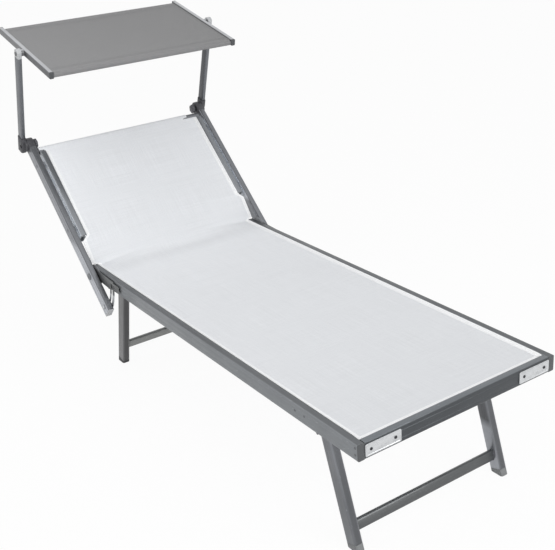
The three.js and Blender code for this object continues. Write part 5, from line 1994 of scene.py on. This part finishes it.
@dataclass
class Studio:
    """The camera at the photograph's view, soft lamps and a plain pale floor."""

    azimuth: float = -33.03124
    elevation: float = 23.37056
    roll: float = -4.03817
    distance: float = 3.01364
    target: Triple = (0.07204, -0.05027, 0.39916)
    focal_pixels: float = 971.13946
    picture_width: float = 555.0
    sensor: float = 36.0
    floor_size: float = 40.0
    floor_tone: float = 0.9
    floor_glow: float = 0.94
    room_light: float = 0.57

    def camera(self) -> None:
        """Makes the camera."""
        azimuth, elevation, roll = (math.radians(a) for a in (self.azimuth, self.elevation, self.roll))
        flat = math.cos(elevation)
        back = Vector((math.sin(azimuth) * flat, -math.cos(azimuth) * flat, math.sin(elevation)))
        right = (-back).cross(Vector((0, 0, 1))).normalized()
        up = right.cross(-back)
        across = right * math.cos(roll) + up * math.sin(roll)
        upward = up * math.cos(roll) - right * math.sin(roll)
        spot = Vector(self.target) + back * self.distance
        data = bpy.data.cameras.new("camera")
        data.sensor_fit = "HORIZONTAL"
        data.sensor_width = self.sensor
        data.lens = self.focal_pixels * self.sensor / self.picture_width
        data.clip_end = 50
        camera = bpy.data.objects.new("camera", data)
        camera.matrix_world = Matrix.Translation(spot) @ Matrix((across, upward, back)).transposed().to_4x4()
        bpy.context.scene.collection.objects.link(camera)
        bpy.context.scene.camera = camera

    def lamp(self, name: str, spot: Triple, aim: Triple, size: float, power: float) -> None:
        """Makes a square soft lamp.

        Args:
            name: The lamp's name.
            spot: Where it hangs.
            aim: The point that it faces.
            size: The length of its sides.
            power: Its power in watts.
        """
        data = bpy.data.lights.new(name, "AREA")
        data.shape = "SQUARE"
        data.size = size
        data.energy = power
        lamp = bpy.data.objects.new(name, data)
        lamp.location = spot
        lamp.rotation_euler = (Vector(aim) - Vector(spot)).to_track_quat("-Z", "Y").to_euler()
        bpy.context.scene.collection.objects.link(lamp)

    def floor(self) -> None:
        """Makes the pale floor."""
        floor = Bench.started("floor", bpy.ops.mesh.primitive_plane_add, size=1)
        Bench.edit(floor)
        Bench.resize(self.floor_size, self.floor_size, 1)
        bpy.ops.mesh.subdivide(number_cuts=3)
        bpy.ops.object.mode_set(mode="OBJECT")
        board = MaterialBoard("pale_floor")
        board.finish(Base_Color=toned(WHITE, self.floor_tone), Roughness=0.9)
        glow = board.add("ShaderNodeEmission", {"Color": WHITE}).outputs[0]
        share = board.times(board.seen(), self.floor_glow)
        mix = board.add("ShaderNodeMixShader", {0: share, 1: board.shader.outputs["BSDF"], 2: glow})
        board.put(board.output.inputs["Surface"], mix.outputs[0])
        floor.data.materials.append(board.material)

    def world(self) -> None:
        """Lights the room evenly, with a white backdrop."""
        world = bpy.data.worlds.new("studio")
        bpy.context.scene.world = world
        world.use_nodes = True
        board = NodeBoard(world.node_tree)
        strength = board.spread(board.seen(), 0.0, 1.0, self.room_light, 1.0)
        sky = board.add("ShaderNodeBackground", {"Color": WHITE, "Strength": strength})
        board.add("ShaderNodeOutputWorld", {"Surface": sky.outputs[0]})

    def build(self) -> None:
        """Makes the whole studio."""
        bpy.context.scene.view_settings.view_transform = "Standard"
        self.camera()
        self.world()
        self.floor()
        self.lamp("key", (0.6, -3.6, 2.2), (0, 0.4, 0.5), 2.2, 64)
        self.lamp("fill", (-2.6, -1.9, 2.2), (0, 0.2, 0.5), 2.0, 20)
        self.lamp("over", (-0.8, 0.35, 1.95), (0, 0.2, 0.4), 1.0, 5)


def main() -> None:
    """Builds the studio and the lounger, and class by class."""
    logging.basicConfig(level=logging.INFO, format="%(name)s: %(message)s")
    Studio().build()
    finishes = Finishes()
    fasteners = Fasteners(finishes)
    SeatFrame(finishes, fasteners, Body.SEAT).build()
    LegFrame(finishes, fasteners, Body.FRONT_LEGS, End.FRONT, PLACES.FRONT_LEAN).build()
    LegFrame(finishes, fasteners, Body.REAR_LEGS, End.REAR, PLACES.REAR_LEAN).build()
    Backrest(finishes, fasteners, Body.BACK).build()
    CanopyArms(finishes, fasteners, Body.ARMS).build()
    CanopyFrame(finishes, fasteners, Body.CANOPY).build()
    SlingCloth(finishes).build()
    ShadeCloth(finishes).build()
    fasteners.clear()
    Bench.clear()


if __name__ == "__main__":
    main()
